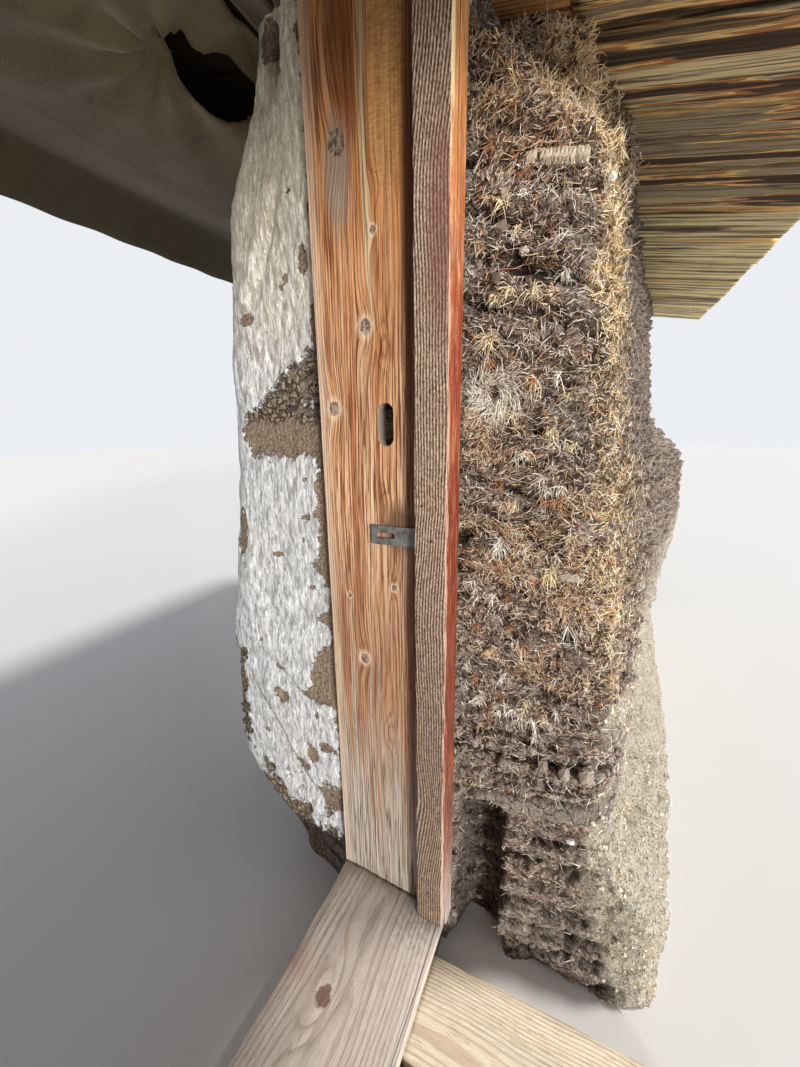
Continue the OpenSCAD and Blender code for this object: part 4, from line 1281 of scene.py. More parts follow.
greys = [(0.3, 0.245, 0.205), (0.24, 0.185, 0.15), (0.36, 0.3, 0.25), (0.15, 0.11, 0.08)]
sands = [(0.8, 0.7, 0.55), (0.62, 0.53, 0.41), (0.48, 0.39, 0.29), (0.86, 0.77, 0.62)]
spots, _, earth, growth, owner = right_skin
low_reveal = ((np.abs(spots[:, 0]) < 0.7) * growth[:, 2] * (1 - earth[:, 0]) * (1 - earth[:, 1])
    + 0.02 * (spots[:, 0] < 0.7))
slope = earth[:, 0] * (spots[:, 0] < 1.1) * (spots[:, 2] < 0.9) + 1e-9
reveal_clods = strewn(right_skin, 230, low_reveal, 0.005, greys)
slope_crumbs = strewn(right_skin, 380, slope, 0.0034, sands)
named = [((reveal_x - 0.02, -0.375, 0.597), (0.014, 0.013, 0.021), (0.34, 0.285, 0.24)),
         ((reveal_x - 0.012, -0.417, 0.6), (0.017, 0.017, 0.02), (0.36, 0.3, 0.25)),
         ((reveal_x - 0.012, -0.332, 0.594), (0.012, 0.012, 0.019), (0.3, 0.25, 0.21)),
         ((reveal_x, -0.237, 1.592), (0.009, 0.013, 0.01), (0.66, 0.62, 0.55)),
         ((reveal_x, -0.36, 1.671), (0.009, 0.008, 0.009), (0.74, 0.7, 0.62)),
         ((reveal_x, -0.401, 0.41), (0.008, 0.011, 0.006), (0.78, 0.76, 0.72)),
         ((reveal_x + 0.004, -0.352, 1.02), (0.01, 0.028, 0.011), (0.5, 0.44, 0.37)),
         ((reveal_x - 0.006, -0.24, 1.722), (0.013, 0.011, 0.013), (0.62, 0.54, 0.42))]
named += [((reveal_x - 0.006, -0.258 - 0.0058 * i, 1.716 - 0.001 * i),
    (0.0135 + 0.0006 * (i % 2), 0.007, 0.013 + 0.0004 * (i % 3)),
    (0.64 - 0.1 * (i % 2), 0.56 - 0.1 * (i % 2), 0.44 - 0.08 * (i % 2))) for i in range(12)]
lumps_right = clods("earth_clods_right",
    np.concatenate([reveal_clods[0], slope_crumbs[0], [c[0] for c in named]]),
    np.concatenate([reveal_clods[1], slope_crumbs[1], [c[1] for c in named]]),
    np.concatenate([reveal_clods[2], slope_crumbs[2], [c[2] for c in named]]), straight=len(named),
    blocks=13)
lumps_left = clods("earth_clods_left",
    *strewn(left_skin, 130, left_skin[3][:, 2] * (left_skin[4] < 4) + 0.02, 0.007, greys))
dry_clods = clod_look()
for piece in (lumps_right, lumps_left):
    piece.data.materials.append(dry_clods)

# End walls. The same turf runs back from each corner and is cut off square behind the room
# side, where the rest of the house is left out.
def end_wall(side, seed):
    sign = 1 if side == "right" else -1
    z_line = np.linspace(0, 1, 110)[:, None]
    height = 2.3 * z_line
    rx, ex = room_half + plaster_t, end_x(height)
    x, y, owner = plan_ring([
        run(4, (rx, split_y), (ex, split_y)),
        run(40, (ex, split_y), (ex, end_wall_back)),
        run(24, (ex, end_wall_back), (rx, end_wall_back)),
        run(4, (rx, end_wall_back), (rx, split_y))], len(z_line))
    z = z_line * (roof_under(y) - 0.003)
    points, normals = joined(x, y, z), plan_normals(x, y)
    out, earth, growth = turf_relief(points * (sign, 1, 1), seed)
    earth[..., 0] = ease((0.5 - z) / 0.3) * (owner == 1)
    out = out * np.where(owner == 1, 1, np.where(owner == 2, 0.5, 0)) * ease((roof_under(y) - z) / 0.05)
    moved = (points + normals * out[..., None]) * (sign, 1, 1)
    piece = make_mesh(f"{side}_end_turves", moved, *ring_faces(*x.shape, flip=sign < 0))
    tint(piece, "earth", earth)
    tint(piece, "growth", growth)
    piece.data.materials.append(turf_earth)
    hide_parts(f"{side}_end_wall")


end_wall("right", 47)
end_wall("left", 48)

# Plaster. Mud is trowelled over the turf of the reveal and the room side, then limewashed. The
# lime has scaled off in patches, the mud has crumbled under one of them, and the foot is broken.
def lime_masks(y, z, x, sign):
    """Bare: above 0 where the limewash is gone. Crumb: 1 where the mud has broken up too.
    Places come from the right-hand reveal; the rest of the walls peel at random."""
    p = joined(x, y, z)
    wave = 0.02 * lattice(p, 0.045, 71) + 0.01 * lattice(p, 0.016, 72) + 0.008 * lattice(p, 0.008, 74)
    reveal = (x < 0.62) if sign > 0 else (x < 0.0)
    y_top = 1.462 - 0.55 * np.clip(y - 0.2, 0, 1) + wave
    patch = np.minimum(y_top - z, z - (1.242 + 0.5 * wave)) * 14
    patch = np.minimum(patch, (0.415 - y + wave) * 14)
    strip_w = (0.026 + 0.03 * lattice(p, 0.11, 73) + 0.045 * bell(z, 0.855, 0.02)
               + 0.05 * ease((0.82 - z) / 0.1) * ease((z - 0.625) / 0.02))
    strip = (0.155 + strip_w * ((z < 1.25) & (z > 0.625)) - y + 0.7 * wave) * 30
    chips = -np.ones_like(y)
    for cy, cz, ry, rz in ((0.19, 1.638, 0.014, 0.03), (0.166, 1.505, 0.012, 0.05),
            (0.374, 1.546, 0.026, 0.013), (0.243, 1.61, 0.007, 0.011), (0.256, 1.593, 0.008, 0.007),
            (0.334, 0.999, 0.02, 0.007), (0.223, 1.192, 0.006, 0.006), (0.224, 1.105, 0.013, 0.006),
            (0.241, 1.048, 0.006, 0.008), (0.225, 0.931, 0.01, 0.008), (0.421, 0.743, 0.008, 0.007),
            (0.356, 0.677, 0.024, 0.01), (0.348, 0.599, 0.026, 0.022), (0.215, 0.634, 0.06, 0.01),
            (0.469, 1.044, 0.03, 0.075), (0.229, 1.952, 0.018, 0.016), (0.213, 1.757, 0.014, 0.004),
            (0.257, 2.018, 0.02, 0.034), (0.2, 0.49, 0.042, 0.016), (0.25, 0.448, 0.018, 0.03),
            (0.292, 0.396, 0.03, 0.014), (0.224, 0.58, 0.009, 0.012), (0.437, 0.44, 0.009, 0.01),
            (0.195, 0.32, 0.05, 0.055)):
        chips = np.maximum(chips, 1 - np.hypot((y - cy) / ry, (z - cz) / rz)
            + 20 * wave * min(1, 60 * min(ry, rz)))
    laps = 1 - np.abs(z - 0.376 - 1.32 * (y - 0.297)) / 0.013 - 7 * np.abs(z - 0.46) + 18 * wave
    side = np.minimum((y - 0.512) * 20, 1.6 - np.abs(z - 0.56) / 0.1) + 26 * wave
    foot = (0.235 + 0.3 * np.clip(y - 0.24, 0, 0.3) + 5 * wave - z) * 8
    flake = np.maximum.reduce([1.3 - np.hypot((y - cy) / ry, (z - cz) / rz) + rough * wave for cy, cz,
        ry, rz, rough in ((0.209, 1.352, 0.014, 0.02, 8), (0.355, 0.275, 0.05, 0.05, 16),
        (0.19, 0.225, 0.022, 0.035, 16))])
    bare = np.maximum.reduce([patch, strip, chips, foot, laps, side])
    bare = np.where(flake > 0.3, -1, bare)
    loose = layered(p, 0.16, 75 + sign, 3) - 0.95 + 0.5 * ease((0.5 - z) / 0.4) - 2 * (x < 0.95) * (z > 1.4)
    bare = np.where(reveal, bare, loose * 3)
    crumb = ease((z - 1.318 + 0.5 * wave) / 0.012) * (z < 1.47) * reveal * (patch > 0)
    crumb = np.maximum(crumb, 0.8 * reveal * (np.maximum(foot, side) > 0))
    return np.clip(bare, -1, 1), crumb


def plaster_side(side, fine):
    """A skin 28 mm thick: out along the limewashed face and back along the turf, both carried
    up the wall. Its face ripples upright, as if stroked on by hand."""
    sign = 1 if side == "right" else -1
    rows = int(300 * fine)
    t = np.linspace(0, 1, rows)[:, None]
    height = 2.14 * t
    px, cx = jamb_back - 0.01, jamb_back + 0.022 + plaster_r
    py, r = room_y(height), plaster_r
    back, rb = end_wall_back - 0.002, plaster_r - plaster_t
    by = py - plaster_t
    wx, wb = room_half, room_half + plaster_t
    x, y, owner = plan_ring([
        run(3, ((jamb_back + 0.001), (back_y + 0.001)), (px, (back_y + 0.001))),
        run(44 * fine, (px, (back_y + 0.001)), (cx - r, py - r)),
        arc(34 * fine, (cx, py - r), r, 180, 90),
        run(46 * fine, (cx, py), (wx - cove, py)),
        run(4, (wx - cove, py), (wx, py + cove)),
        run(14, (wx, py + cove), (wx, back)),
        run(2, (wx, back), (wb, back)),
        run(3, (wb, back), (wb, by + cove)),
        run(2, (wb, by + cove), (wb - cove, by)),
        run(3, (wb - cove, by), (cx, by)),
        arc(4, (cx, by - rb), rb, 90, 180),
        run(3, (cx - rb, by - rb), ((jamb_back + 0.001), (back_y + 0.001))),
    ], rows)
    z = t * (roof_under(y) - 0.003)
    points, normals = joined(x, y, z), -plan_normals(x, y)
    p = points * (sign, 1, 1)
    rough = 1 + 1.8 * np.exp(-(((y - 0.29) / 0.05) ** 2) - ((z - 1.89) / 0.08) ** 2)
    ripple = (0.0026 * rough * lattice(p * (1, 1, 0.4), 0.013, 81)
        + 0.0014 * lattice(p * (1, 1, 0.6), 0.006, 82) + 0.006 * layered(p, 0.16, 83, 3))
    bare, crumb = lime_masks(y, z, x, sign)
    gone = ease(bare / 0.25)
    lump = layered(p, 0.02, 85, 3)
    out = (ripple * (1 - gone) - 0.0045 * gone - crumb * (0.01 + 0.012 * np.clip(-lump, 0, 1))
        + 0.004 * crumb * lump)
    out = out - gone * ease((0.22 - z) / 0.15) * (0.012 + 0.01 * lump)
    reveal = x < 0.6
    ridge = z - 0.376 - 1.32 * (y - 0.297)
    out = out + 0.011 * ease(ridge / 0.01) * ease((0.7 - z) / 0.1) * ease((z - 0.31) / 0.04) * reveal
    ridge = z - 0.63 - 0.47 * (y - 0.25)
    out = out + 0.006 * ease(ridge / 0.009) * ease((0.85 - z) / 0.15) * reveal
    fold = (y - 0.269) + 0.46 * (z - 1.734)
    along = ease((1.82 - z) / 0.06) * ease((z - 1.54) / 0.06) * reveal
    out = out - 0.011 * along * bell(fold, 0, 0.015) + 0.006 * along * bell(fold, 0.04, 0.024)
    lobe = bell(y, 0.185, 0.03) * ease((z - 1.86) / 0.1) * reveal
    out = out + 0.012 * lobe
    pit = np.exp(-(((y - 0.238) / 0.016) ** 2) - ((z - 2.0) / 0.045) ** 2) * reveal
    out = out - 0.022 * pit
    face = (owner >= 1) & (owner <= 5)
    out = (np.where(face, np.maximum(out, -0.024), 0)
        * np.where(owner == 5, ease((back - y) / 0.05 + 0.1), 1))
    out = np.where(x < px + 0.0005, np.minimum(out, 0.009), out)
    moved = (points + normals * out[..., None]) * (sign, 1, 1)
    piece = make_mesh(f"{side}_limed_plaster", moved, *ring_faces(*x.shape, flip=sign > 0))
    # The third mask is painted shade: the pit and the top of the reveal beyond it.
    masks = joined(0.5 + 0.5 * bare, crumb,
        np.clip(pit + 0.6 * ease((y - 0.262) / 0.03) * ease((z - 1.99) / 0.04) * reveal, 0, 1))
    tint(piece, "coat", masks)
    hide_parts(f"{side}_plaster")
    return piece


def lime_look():
    """Chalky limewash, creamier and greener towards the roof, over tan mud with straw in it;
    crumbled mud has painted shade between its lumps, and the lime's relief carries painted shade
    and highlight."""
    material, shader, here = plain_surface("limewash_on_mud")
    bare, crumb, pit = stored("coat")
    x, y, z = split(here)
    fine = noise(here, 150.0, 6.0, 0.7)
    broad = noise(here, 7.0, 5.0, 0.6)
    upright = noise(here * (1, 1, 0.3), 95.0, 4.0, 0.65)
    flaky = spread(noise(here * (1, 1, 0.35), 120.0, 4.0, 0.7, 0.8), 0.42, 0.56)
    # Painted shade and highlight: the upright ripples, which are also the bump, are grey in their grooves
    # and pale on their ridges.
    lime = mix(spread(upright, 0.4, 0.54), (0.42, 0.43, 0.455), (0.88, 0.9, 0.92))
    # Painted shade in the low parts of the flaky relief.
    lime = mix((1.0 - flaky) * 0.3, lime, (0.34, 0.34, 0.35))
    high = spread(z + broad * 0.5, 1.62, 2.05)
    lime = mix(high * 0.88, lime, mix(spread(upright, 0.35, 0.6), (0.78, 0.68, 0.47), (1.0, 0.95, 0.78)))
    # Painted shade in the hollows of the flaky relief high up.
    hollow_shade = high * (1.0 - flaky) * 0.34
    lime = mix(hollow_shade, lime, (0.3, 0.255, 0.16))
    # Painted shade: the ripples' grooves are darker in a band between 1.36 and 1.84 m.
    band_shade = spread(z, 1.36, 1.5) * spread(z, 1.84, 1.66)
    band_shade = band_shade * spread(upright, 0.56, 0.42)
    lime = mix(band_shade * 0.42, lime, (0.36, 0.31, 0.25))
    stain = spread(broad, 0.54, 0.68) * 0.3
    lime = mix(stain, lime, (0.58, 0.52, 0.4))
    mud = ramp(fine, [(0.36, (0.13, 0.092, 0.062)), (0.5, (0.29, 0.222, 0.162)),
        (0.64, (0.42, 0.325, 0.235))])
    jog = noise(here, 50.0, 2.0, 0.5, out=1) * (0.024, 0.024, 0.024)
    lumps = add("TexVoronoi", {"Vector": here + jog, "Scale": 52.0}, feature="DISTANCE_TO_EDGE")
    # Painted shade: dark between the lumps of crumbled mud.
    broken = mix(spread(lumps, 0.0, 0.11), (0.07, 0.045, 0.03),
        mix(spread(fine, 0.42, 0.6), (0.22, 0.16, 0.115), (0.5, 0.41, 0.31)))
    mud = mix(crumb, mud, broken)
    edge = bare + (noise(here, 70.0, 5.0, 0.7) - 0.5) * 0.75
    shown = spread(edge, 0.5, 0.515)
    rim = spread(edge, 0.44, 0.5) * 0.35
    colour = mix(shown, mix(rim, lime, (0.74, 0.73, 0.71)), mud)
    wobble = (noise(here, 26.0, 3.0) - 0.5) * 0.03
    low = spread(x, 0.3, 0.31) * spread(x, 0.62, 0.6)
    # Painted shade along two diagonal laps of lime low on the reveal, as the shadow under their ridges.
    for level, steep, middle, foot, top, half in ((0.395, 1.32, 0.297, 0.31, 0.62, 0.016),
            (0.63, 0.47, 0.25, 0.6, 0.685, 0.006)):
        lap_shade = z - (y - middle) * steep + wobble
        lap_shade = spread(abs(lap_shade - level), half, 0.3 * half)
        within = spread(z, foot, foot + 0.02) * spread(z, top, top - 0.03)
        lap_shade = lap_shade * low * within
        colour = mix(lap_shade * 0.65, colour, (0.22, 0.17, 0.12))
    # Painted shadow on the mud just beside the torn edge of the lime.
    edge_shadow = spread(edge, 0.6, 0.515) * shown
    colour = mix(edge_shadow * 0.5, colour, (0.06, 0.04, 0.03))
    # Painted shade in the pit near the head of the plaster and along the top of the reveal beyond it.
    colour = mix(pit, colour, (0.07, 0.065, 0.03))
    height = upright * 1.0 + fine * 0.5
    height = height + (1.0 - shown) * 0.9
    height = height + flaky * 0.45
    height = height + spread(lumps, 0.0, 0.2) * crumb * 3.0
    coat(shader, {"Base Color": colour, "Roughness": 0.93, "Specular IOR Level": 0.15},
        (height, 1.0, 0.0035))
    return material


limewash = lime_look()
plaster_side("right", 0.9).data.materials.append(limewash)
plaster_side("left", 0.45).data.materials.append(limewash)

# Lintels and purlin. Two thick planks lie flat on the wall head over the doorway; a peeled log,
# hewn flat on top, carries the inner ends of the boards.
lintel_look, *_ = wood_look("lintel_wood", (0.1, 0.075, 0.05), (0.045, 0.03, 0.02), greyness=0.5,
    ring=0.006, axes="YZX", pith=(0.2, 2.08))
finish_node("lintel_outer", lintel_look, 0.006)
finish_node("lintel_inner", lintel_look, 0.006)
purlin_low, purlin_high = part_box("purlin_log")


def purlin():
    """A log: a circle carried along it whose radius wavers, with a flat cut along its top."""
    y0, top = (purlin_low.y + purlin_high.y) / 2, roof_under((purlin_low.y + purlin_high.y) / 2)
    radius = (purlin_high.y - purlin_low.y) / 2
    z0 = top - (radius - 0.008) / math.cos(math.radians(10))
    x = np.linspace(purlin_low.x, purlin_high.x, 110)[:, None]
    a = np.radians(np.arange(0, 360, 12))[None, :]
    p = joined(x * 0.25, y0 + radius * np.cos(a), z0 + radius * np.sin(a))
    r = radius - 0.003 + 0.003 * layered(p, 0.09, 91, 3)
    y, z = y0 + r * np.cos(a), z0 + r * np.sin(a)
    z = np.minimum(z, roof_under(y) - 0.0005)
    z = np.maximum(z, purlin_low.z)
    points = joined(x, y, z)
    piece = make_mesh("purlin_peeled_log", points, *ring_faces(*points.shape[:2]))
    place = joined((y - y0) * 1.0, (z - z0) * 1.0, x).reshape(-1, 3)
    piece.data.attributes.new("grain_place", "FLOAT_VECTOR", "POINT").data.foreach_set("vector",
        place.astype(np.float32).ravel())
    return piece


log = purlin()
log_look, *_ = wood_look("purlin_wood", (0.38, 0.27, 0.17), (0.2, 0.12, 0.07), greyness=0.6, ring=0.011,
    wander=0.02, relief=0.9)
log.data.materials.append(log_look)
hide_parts("purlin_log")

# Roof boards. Slabs as they came from the saw lie down the slope, edge to edge: old grey boards
# at the eave, with bark-edged, golden sides, and browner ones behind them over the wall.
slope = math.radians(10)
down_slope = np.array([0, math.cos(slope), math.sin(slope)])
off_slope = np.array([0, -math.sin(slope), math.cos(slope)])
roof_half, board_t = 2.97, 0.025
eave_ends = rng.uniform(-0.008, 0.008, 24)


def roof_boards(name, count, first, last, y0, y1, cell, stations, waney, uneven, seed, node):
    """Boards first to last of count across the roof, between two depths."""
    pitch = 2 * roof_half / count
    s0, s1 = y0 / math.cos(slope), y1 / math.cos(slope)
    boards = []
    for i in range(first, last + 1):
        start = s0 + uneven * eave_ends[i % 24]
        middle = (np.array([-roof_half + (i + 0.5) * pitch, 0, roof_z]) + down_slope * start
            + off_slope * board_t / 2)
        boards.append((middle, down_slope * (s1 - start), (pitch - 0.005, 0, 0),
            off_slope * (board_t - 0.001)))
    piece = planks(name, boards, cell, stations, 0.007, 0.0022, seed, waney=waney)
    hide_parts(node)
    return piece


def board_look(name, early, late, grey, greyness, gold, blotch):
    """Rough boards: every board has its own shade, with brown streaks and golden edges. Painted
    light makes the far boards and those up to 0.9 m along paler, painted shade darkens the
    boards between them and lays black lanes along the boards, and boards deep over the room
    are painted near black as shade.
    """
    material, shader, got = wood_look(name, early, late, grey=grey, greyness=greyness, ring=0.009,
        wander=0.07, relief=0.9)
    shade, edge, _ = stored("board")
    x, y, _ = split(got["here"])
    far = spread(x, 1.35, 1.7)
    near = 1.0 - far
    first = spread(x, 1.02, 0.9)
    # Painted light: the far boards and those up to 0.9 m along get pale golden rib lines.
    lit = maths("MULTIPLY_ADD", maths("MAXIMUM", first, far), 0.55 * gold, 0.3 * gold)
    wood = mix(spread(shade, 0.3, 0.9) * 0.45, got["wood"], blotch)
    ribs = noise(got["place"] * (1, 1, 0.02), 120.0, 3.0, 0.6)
    wood = mix(spread(ribs, 0.49, 0.43) * lit, wood, (1.0, 0.82, 0.44))
    # Painted shade: the boards between those up to 0.9 m along and the far ones are darkened.
    near_board_shade = (near - first) * (0.6 * gold)
    wood = mix(near_board_shade, wood, (0.16, 0.11, 0.06))
    wood = mix(spread(ribs, 0.54, 0.58) * (0.8 * gold), wood, (0.15, 0.09, 0.04))
    lane = noise(got["place"] * (1, 1, 0.03), 42.0, 4.0, 0.65)
    wood = mix(spread(lane, 0.54, 0.6) * 0.75, wood, dimmed(late, 0.45))
    # Painted light: pale golden lanes on the far boards.
    wood = mix(spread(lane, 0.5, 0.44) * (far * gold), wood, (1.0, 0.86, 0.44))
    bark_and_shade = noise(got["place"] * (1, 1, 0.07), 19.0, 4.0, 0.55)
    bark_and_shade = bark_and_shade + (shade - far * 1.6) * 0.09
    bark_and_shade = bark_and_shade - first * 0.05
    lip = spread(abs(bark_and_shade - 0.548), 0.014, 0.006)
    wood = mix(lip * (near * gold), wood, (1.0, 0.66, 0.26))
    rim = spread(abs(bark_and_shade - 0.572), 0.018, 0.01)
    wood = mix(rim * (near * gold), wood, (0.46, 0.17, 0.055))
    # Painted shade: black lanes along the boards inside their red-brown and golden bark lines, fewer on the
    # far boards.
    black_shade = spread(bark_and_shade, 0.582, 0.592) * gold
    wood = mix(black_shade, wood, (0.04, 0.02, 0.011))
    wood = mix(edge * spread(lane, 0.52, 0.42) * gold, wood, (0.9, 0.58, 0.24))
    # Painted shade: boards deep over the room, beyond 0.16 m, go near black.
    wood = mix(spread(y, 0.16, 0.3), wood, (0.03, 0.014, 0.008))
    coat(shader, {"Base Color": wood})
    return material


eave_y, break_y = -0.874, -0.268
eave_look = board_look("eave_board_wood", (0.74, 0.61, 0.38), (0.17, 0.105, 0.06), (0.62, 0.57, 0.4),
    0.7, 0.9, (0.16, 0.13, 0.085))
inner_look = board_look("inner_board_wood", (0.7, 0.27, 0.075), (0.3, 0.095, 0.025), (0.34, 0.2, 0.11),
    0.3, 0.2, (0.36, 0.13, 0.04))
for word, first, last, cell, stations in (("left", 0, 7, 0.03, 24), ("middle", 8, 15, 0.03, 24),
        ("right", 16, 23, 0.014, 52)):
    piece = roof_boards(f"eave_{word}_boards", 24, first, last, eave_y, break_y, cell, stations, 0.007,
        1.0, 5, f"eave_boards_{word}")
    piece.data.materials.append(eave_look)
for word, first, last in (("left", 0, 7), ("middle", 8, 17), ("right", 18, 25)):
    piece = roof_boards(f"inner_{word}_boards", 26, first, last, break_y + 0.002, end_wall_back + 0.018,
        0.06, 34, 0.002, 0.0, 9, f"inner_boards_{word}")
    piece.data.materials.append(inner_look)

# Roof turf. Two layers of turf, the lower grass side down, lie on the boards and hold them; dry
# grass stands on the upper one. Both stop short of the eave, where they crumble.
def roof_turf(name, level, inset, stations, fine, seed, node):
    """One layer: its section down the slope, feathered at the eave, carried along the roof,
    with lumps on top and a ragged front and ends."""
    s0, s1 = eave_y / math.cos(slope) + inset, end_wall_back / math.cos(slope) - 0.002
    t = 0.06
    s = np.concatenate([np.linspace(s1, s0 + 0.004, 12), s0 + np.array([0.002, 0.006, 0.012, 0.022, 0.034]),
                        np.linspace(s0 + 0.045, s1, int(110 * fine))])
    n = np.concatenate([np.zeros(12), t * np.array([0.15, 0.4, 0.62, 0.82, 0.94]),
        np.full(int(110 * fine), t)])
    half = roof_half - inset
    x = np.linspace(-half, half, stations)[:, None]
    top = ((n > 0.1 * t) * ease((s1 - s) / 0.02 + 0.2))[None, :]
    p = joined(x, s[None, :], 0 * x)
    lump = layered(p, 0.13, seed, 4)
    front = ease(1 - (s - s0)[None, :] / 0.1) * layered(p * (1, 0.2, 1), 0.06, seed + 3, 3)
    edge = ease(1 - (half - np.abs(x)) / 0.04)
    nn = n[None, :] + top * (0.009 * lump - 0.01 * edge + (0.006 if level else 0.0))
    ss = s[None, :] + 0.022 * front * (n[None, :] > 0)
    xx = x + np.sign(x) * edge * 0.012 * layered(p * (0.2, 1, 1), 0.06, seed + 5, 2) * (n[None, :] > 0)
    height = board_t + level * t + np.maximum(nn, 0)
    points = (joined(xx, 0 * xx, 0 * xx + roof_z) + down_slope * ss[..., None]
        + off_slope * height[..., None])
    piece = make_mesh(name, points, *ring_faces(stations, len(s), flip=True))
    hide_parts(node)
    return piece, points[:, 18:-4]


def roof_turf_look():
    """Weathered roof turf: dark soil, matted dead grass and some grey-green moss."""
    material, shader, here = plain_surface("roof_turf_earth")
    roots = placed(matted_roots, Place=here, Fineness=150.0)
    clump = spread(roots["Clump"], 0.36, 0.66)
    soil = mix(clump, (0.05, 0.034, 0.022), (0.21, 0.155, 0.1))
    grass = mix(noise(here, 20.0, 4.0), (0.3, 0.25, 0.12), (0.56, 0.46, 0.27))
    colour = mix(roots["Fibre"], soil, grass)
    moss = spread(noise(here, 4.0, 5.0), 0.52, 0.64) * 0.5
    colour = mix(moss, colour, (0.17, 0.18, 0.075))
    coat(shader, {"Base Color": colour, "Roughness": 0.95}, (roots["Fibre"] + clump, 1.0, 0.01))
    return material


roof_earth = roof_turf_look()
lower_layer, _ = roof_turf("roof_lower_turves", 0, 0.09, 130, 0.36, 101, "roof_turf_lower")
upper_layer, roof_top = roof_turf("roof_upper_turves", 1, 0.13, 190, 0.6, 103, "roof_turf_upper")
lower_layer.data.materials.append(roof_earth)
upper_layer.data.materials.append(roof_earth)
blades = 4200
picked = roof_top.reshape(-1, 3)[rng.choice(roof_top.shape[0] * roof_top.shape[1], blades)]
patchy = lattice(picked, 0.4, 105)
picked = picked[patchy + rng.normal(0, 0.4, blades) > -0.2]
blades = len(picked)
blade_lean = rng.normal(0, 0.75, (blades, 3)) + (0, -0.3, 0.55)
blade_lean[:, 2] = np.abs(blade_lean[:, 2]) + 0.15
blade_tone = np.array([tones[k] for k in ("straw", "tan", "brown", "grey")]
    + [(0.3, 0.31, 0.12)])[rng.integers(0, 5, blades)]
strands("roof_dry_grass", picked, blade_lean, 0.045 * np.exp(rng.normal(0, 0.3, blades)),
    rng.uniform(0.0008, 0.0016, blades), rng.uniform(0.2, 0.6, blades), blade_tone)

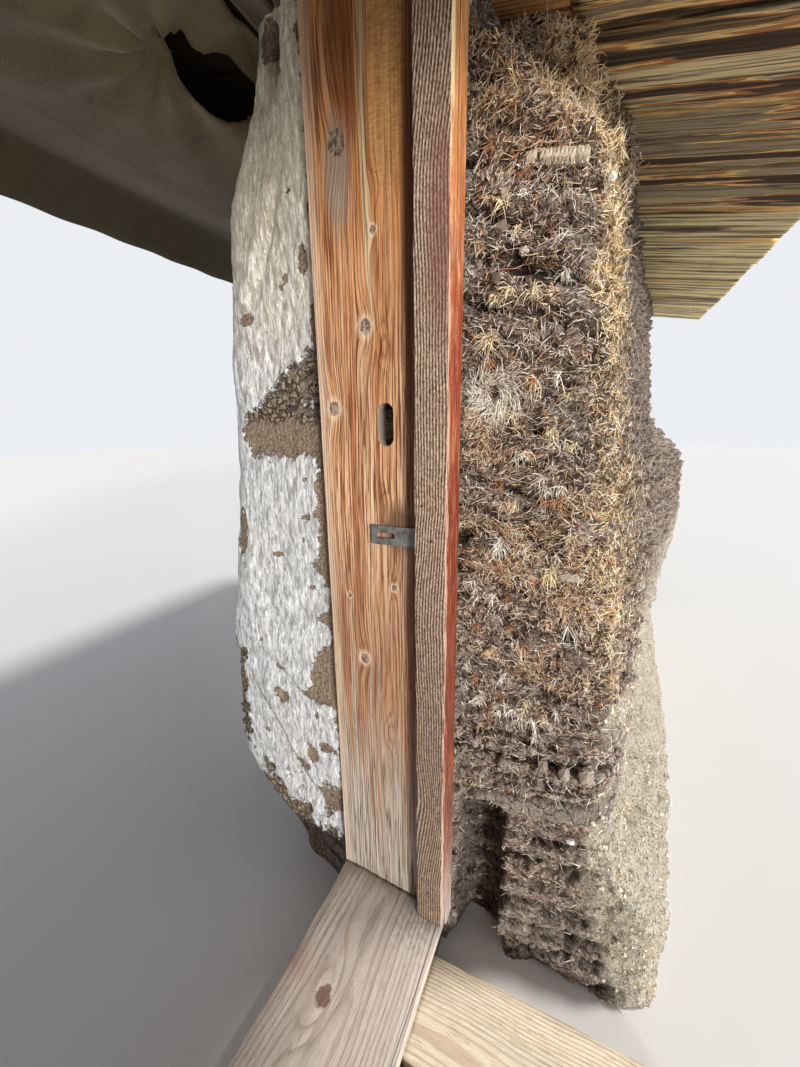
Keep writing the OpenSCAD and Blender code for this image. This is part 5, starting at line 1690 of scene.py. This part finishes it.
# Ceiling cloth. Old muslin is tacked to the wall head and under the purlin to catch falling
# earth. It bellies between the tacks, has gone brown, is painted darker still as shade, and is
# torn beside the doorway.
def muslin():
    """The cloth's line from wall head to purlin and over its hanging end, run along the room.
    Between tack lines it sags; folds fan out from one tack, and a lip hangs at the tear."""
    ends = room_half - 0.016
    x = np.concatenate([np.linspace(-ends, 0.4, 82, False), np.linspace(0.4, 0.82, 44, False),
        np.linspace(0.82, ends, 44)])[:, None]
    t = np.concatenate([np.linspace(0, 0.24, 20, False), np.linspace(0.24, 1, 38)])[None, :]
    tack = 0.83
    s, q = np.clip(t / tack, 0, 1), np.clip((t - tack) / (1 - tack), 0, 1)
    y0, y1, y2 = room_y(roof_z) + 0.03, end_wall_back - 0.13, end_wall_back - 0.006
    y = y0 + (y1 - y0) * s + (y2 - y1) * q + 0 * x
    fall = 0.002 + 0.138 * s + 0.095 * np.sin(np.pi * s) + 0.15 * q ** 1.6
    p = joined(x, y, 0 * x)
    swag = np.abs(np.sin(np.pi * (x + 0.12) / 0.62)) ** 0.7
    slack = np.sin(np.pi * s) * (0.018 * (swag - 0.6) + 0.01 * lattice(p * (1, 0.5, 1), 0.22, 111))
    seam = bell(y, 0.905, 0.012)
    u, v = x - 0.447, y - 0.5 + 0.16 * (x - 0.447)
    half = 0.088 * np.clip(u / 0.13, 0, 1) ** 0.75 * ease((0.33 - u) / 0.1) * np.where(v > 0, 1.0, 0.55)
    hole = np.abs(v) / np.maximum(half, 0.0005)
    hole = np.where(u > 0, hole, 1 + np.hypot(u, v) / 0.03)
    y = np.where(hole < 1, 0.5 - 0.16 * u + np.sign(v) * half * (1 + 0.05 * lattice(p, 0.03, 117)), y)
    fan_r = np.hypot(x - 0.5, y - 0.555)
    fan = 0.015 * np.cos(9 * np.arctan2(y - 0.555, x - 0.5)) * np.exp(-fan_r / 0.3) * ease(fan_r / 0.05)
    pinch = 0.03 * bell(fan_r, 0, 0.05)
    hem = q * 0.014 * np.sin(2 * np.pi * x / 0.21 + 2.0 * lattice(p, 0.4, 113))
    fine = 0.0025 * lattice(p * (1, 0.25, 1), 0.045, 115) * np.sin(np.pi * s)
    z = roof_under(y) - fall - slack - fan - fine + pinch - 0.004 * seam
    y = y + hem * 0.4 * q
    z = np.minimum(z, roof_under(y) - 0.003)
    log_z = roof_under(y1) - 0.133
    z = np.where((y > y1 - 0.07) & (y < y1 + 0.07), np.minimum(z, log_z - 0.002 * q), z)
    lip = bell(hole, 1.0, 0.35)
    z = z - 0.016 * lip * (v < 0) + 0.004 * lip * (v > 0)
    rows, cols = z.shape
    points = joined(x, y, z)
    i, j = np.meshgrid(np.arange(rows - 1), np.arange(cols - 1), indexing="ij")
    quads = joined(i * cols + j, i * cols + j + 1, (i + 1) * cols + j + 1,
        (i + 1) * cols + j).reshape(-1, 4)
    open_ = (hole.ravel()[quads] < 1.0).all(1)
    quads = quads[~open_][:, ::-1]
    used = np.unique(quads)
    index = np.full(rows * cols, -1)
    index[used] = np.arange(len(used))
    flat_points = points.reshape(-1, 3)
    piece = make_mesh("ceiling_muslin", flat_points[used], index[quads])
    along = np.linalg.norm(np.diff(points, axis=1), axis=2).sum(1).mean()
    frayed = np.clip(1 - (hole.ravel()[used] - 1.0) / 0.25, 0, 1)
    tint(piece, "wear", joined(frayed, q.repeat(rows, 0).ravel()[used], seam.ravel()[used]))
    skin = piece.modifiers.new("cloth_thickness", "SOLIDIFY")
    skin.thickness = 0.0012
    skin.offset = 0
    return piece, along


cloth, cloth_along = muslin()


def muslin_look():
    """Unbleached muslin gone brown with dust and smoke and painted darker still as shade, most of
    all towards the back of the room, with a plain weave and old damp rings.
    """
    material, shader, here = plain_surface("muslin_aged_and_shaded")
    frayed, hem, seam = stored("wear")
    x, y, _ = split(here)
    warp = maths("SINE", x * 4200.0)
    weft = maths("SINE", y * 4200.0)
    weave = warp * weft
    slub = noise(here * (1, 0.05, 1), 300.0, 2.0)
    dirt = noise(here, 3.2, 6.0, 0.62)
    rings = noise(here, 2.1, 2.0, 0.5, 1.2)
    ring = spread(abs(rings - 0.52), 0.02, 0.004)
    # Painted shade: the whole cloth is coloured darker than the aged muslin itself.
    colour = ramp(dirt, [(0.3, (0.095, 0.07, 0.036)), (0.5, (0.165, 0.125, 0.068)),
        (0.7, (0.25, 0.195, 0.112))])
    # Painted shade: darker still towards the back of the room.
    colour = mix(spread(y, 0.58, 0.84) * 0.55, colour, (0.06, 0.048, 0.024))
    colour = mix(hem * 0.5, colour, (0.17, 0.15, 0.085))
    colour = mix(ring * 0.35, colour, (0.1, 0.065, 0.035))
    colour = mix(spread(slub, 0.5, 0.7) * 0.18, colour, (0.36, 0.31, 0.23))
    colour = mix(seam * 0.6, colour, (0.07, 0.055, 0.035))
    colour = mix(frayed * 0.5, colour, (0.09, 0.06, 0.04))
    height = weave * 0.12 + noise(here, 40.0, 4.0) * 0.6
    coat(shader, {"Base Color": colour, "Roughness": 0.95, "Sheen Weight": 0.15}, (height, 0.5, 0.003))
    return material


cloth.data.materials.append(muslin_look())
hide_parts("ceiling_cloth")

bpy.context.view_layer.update()
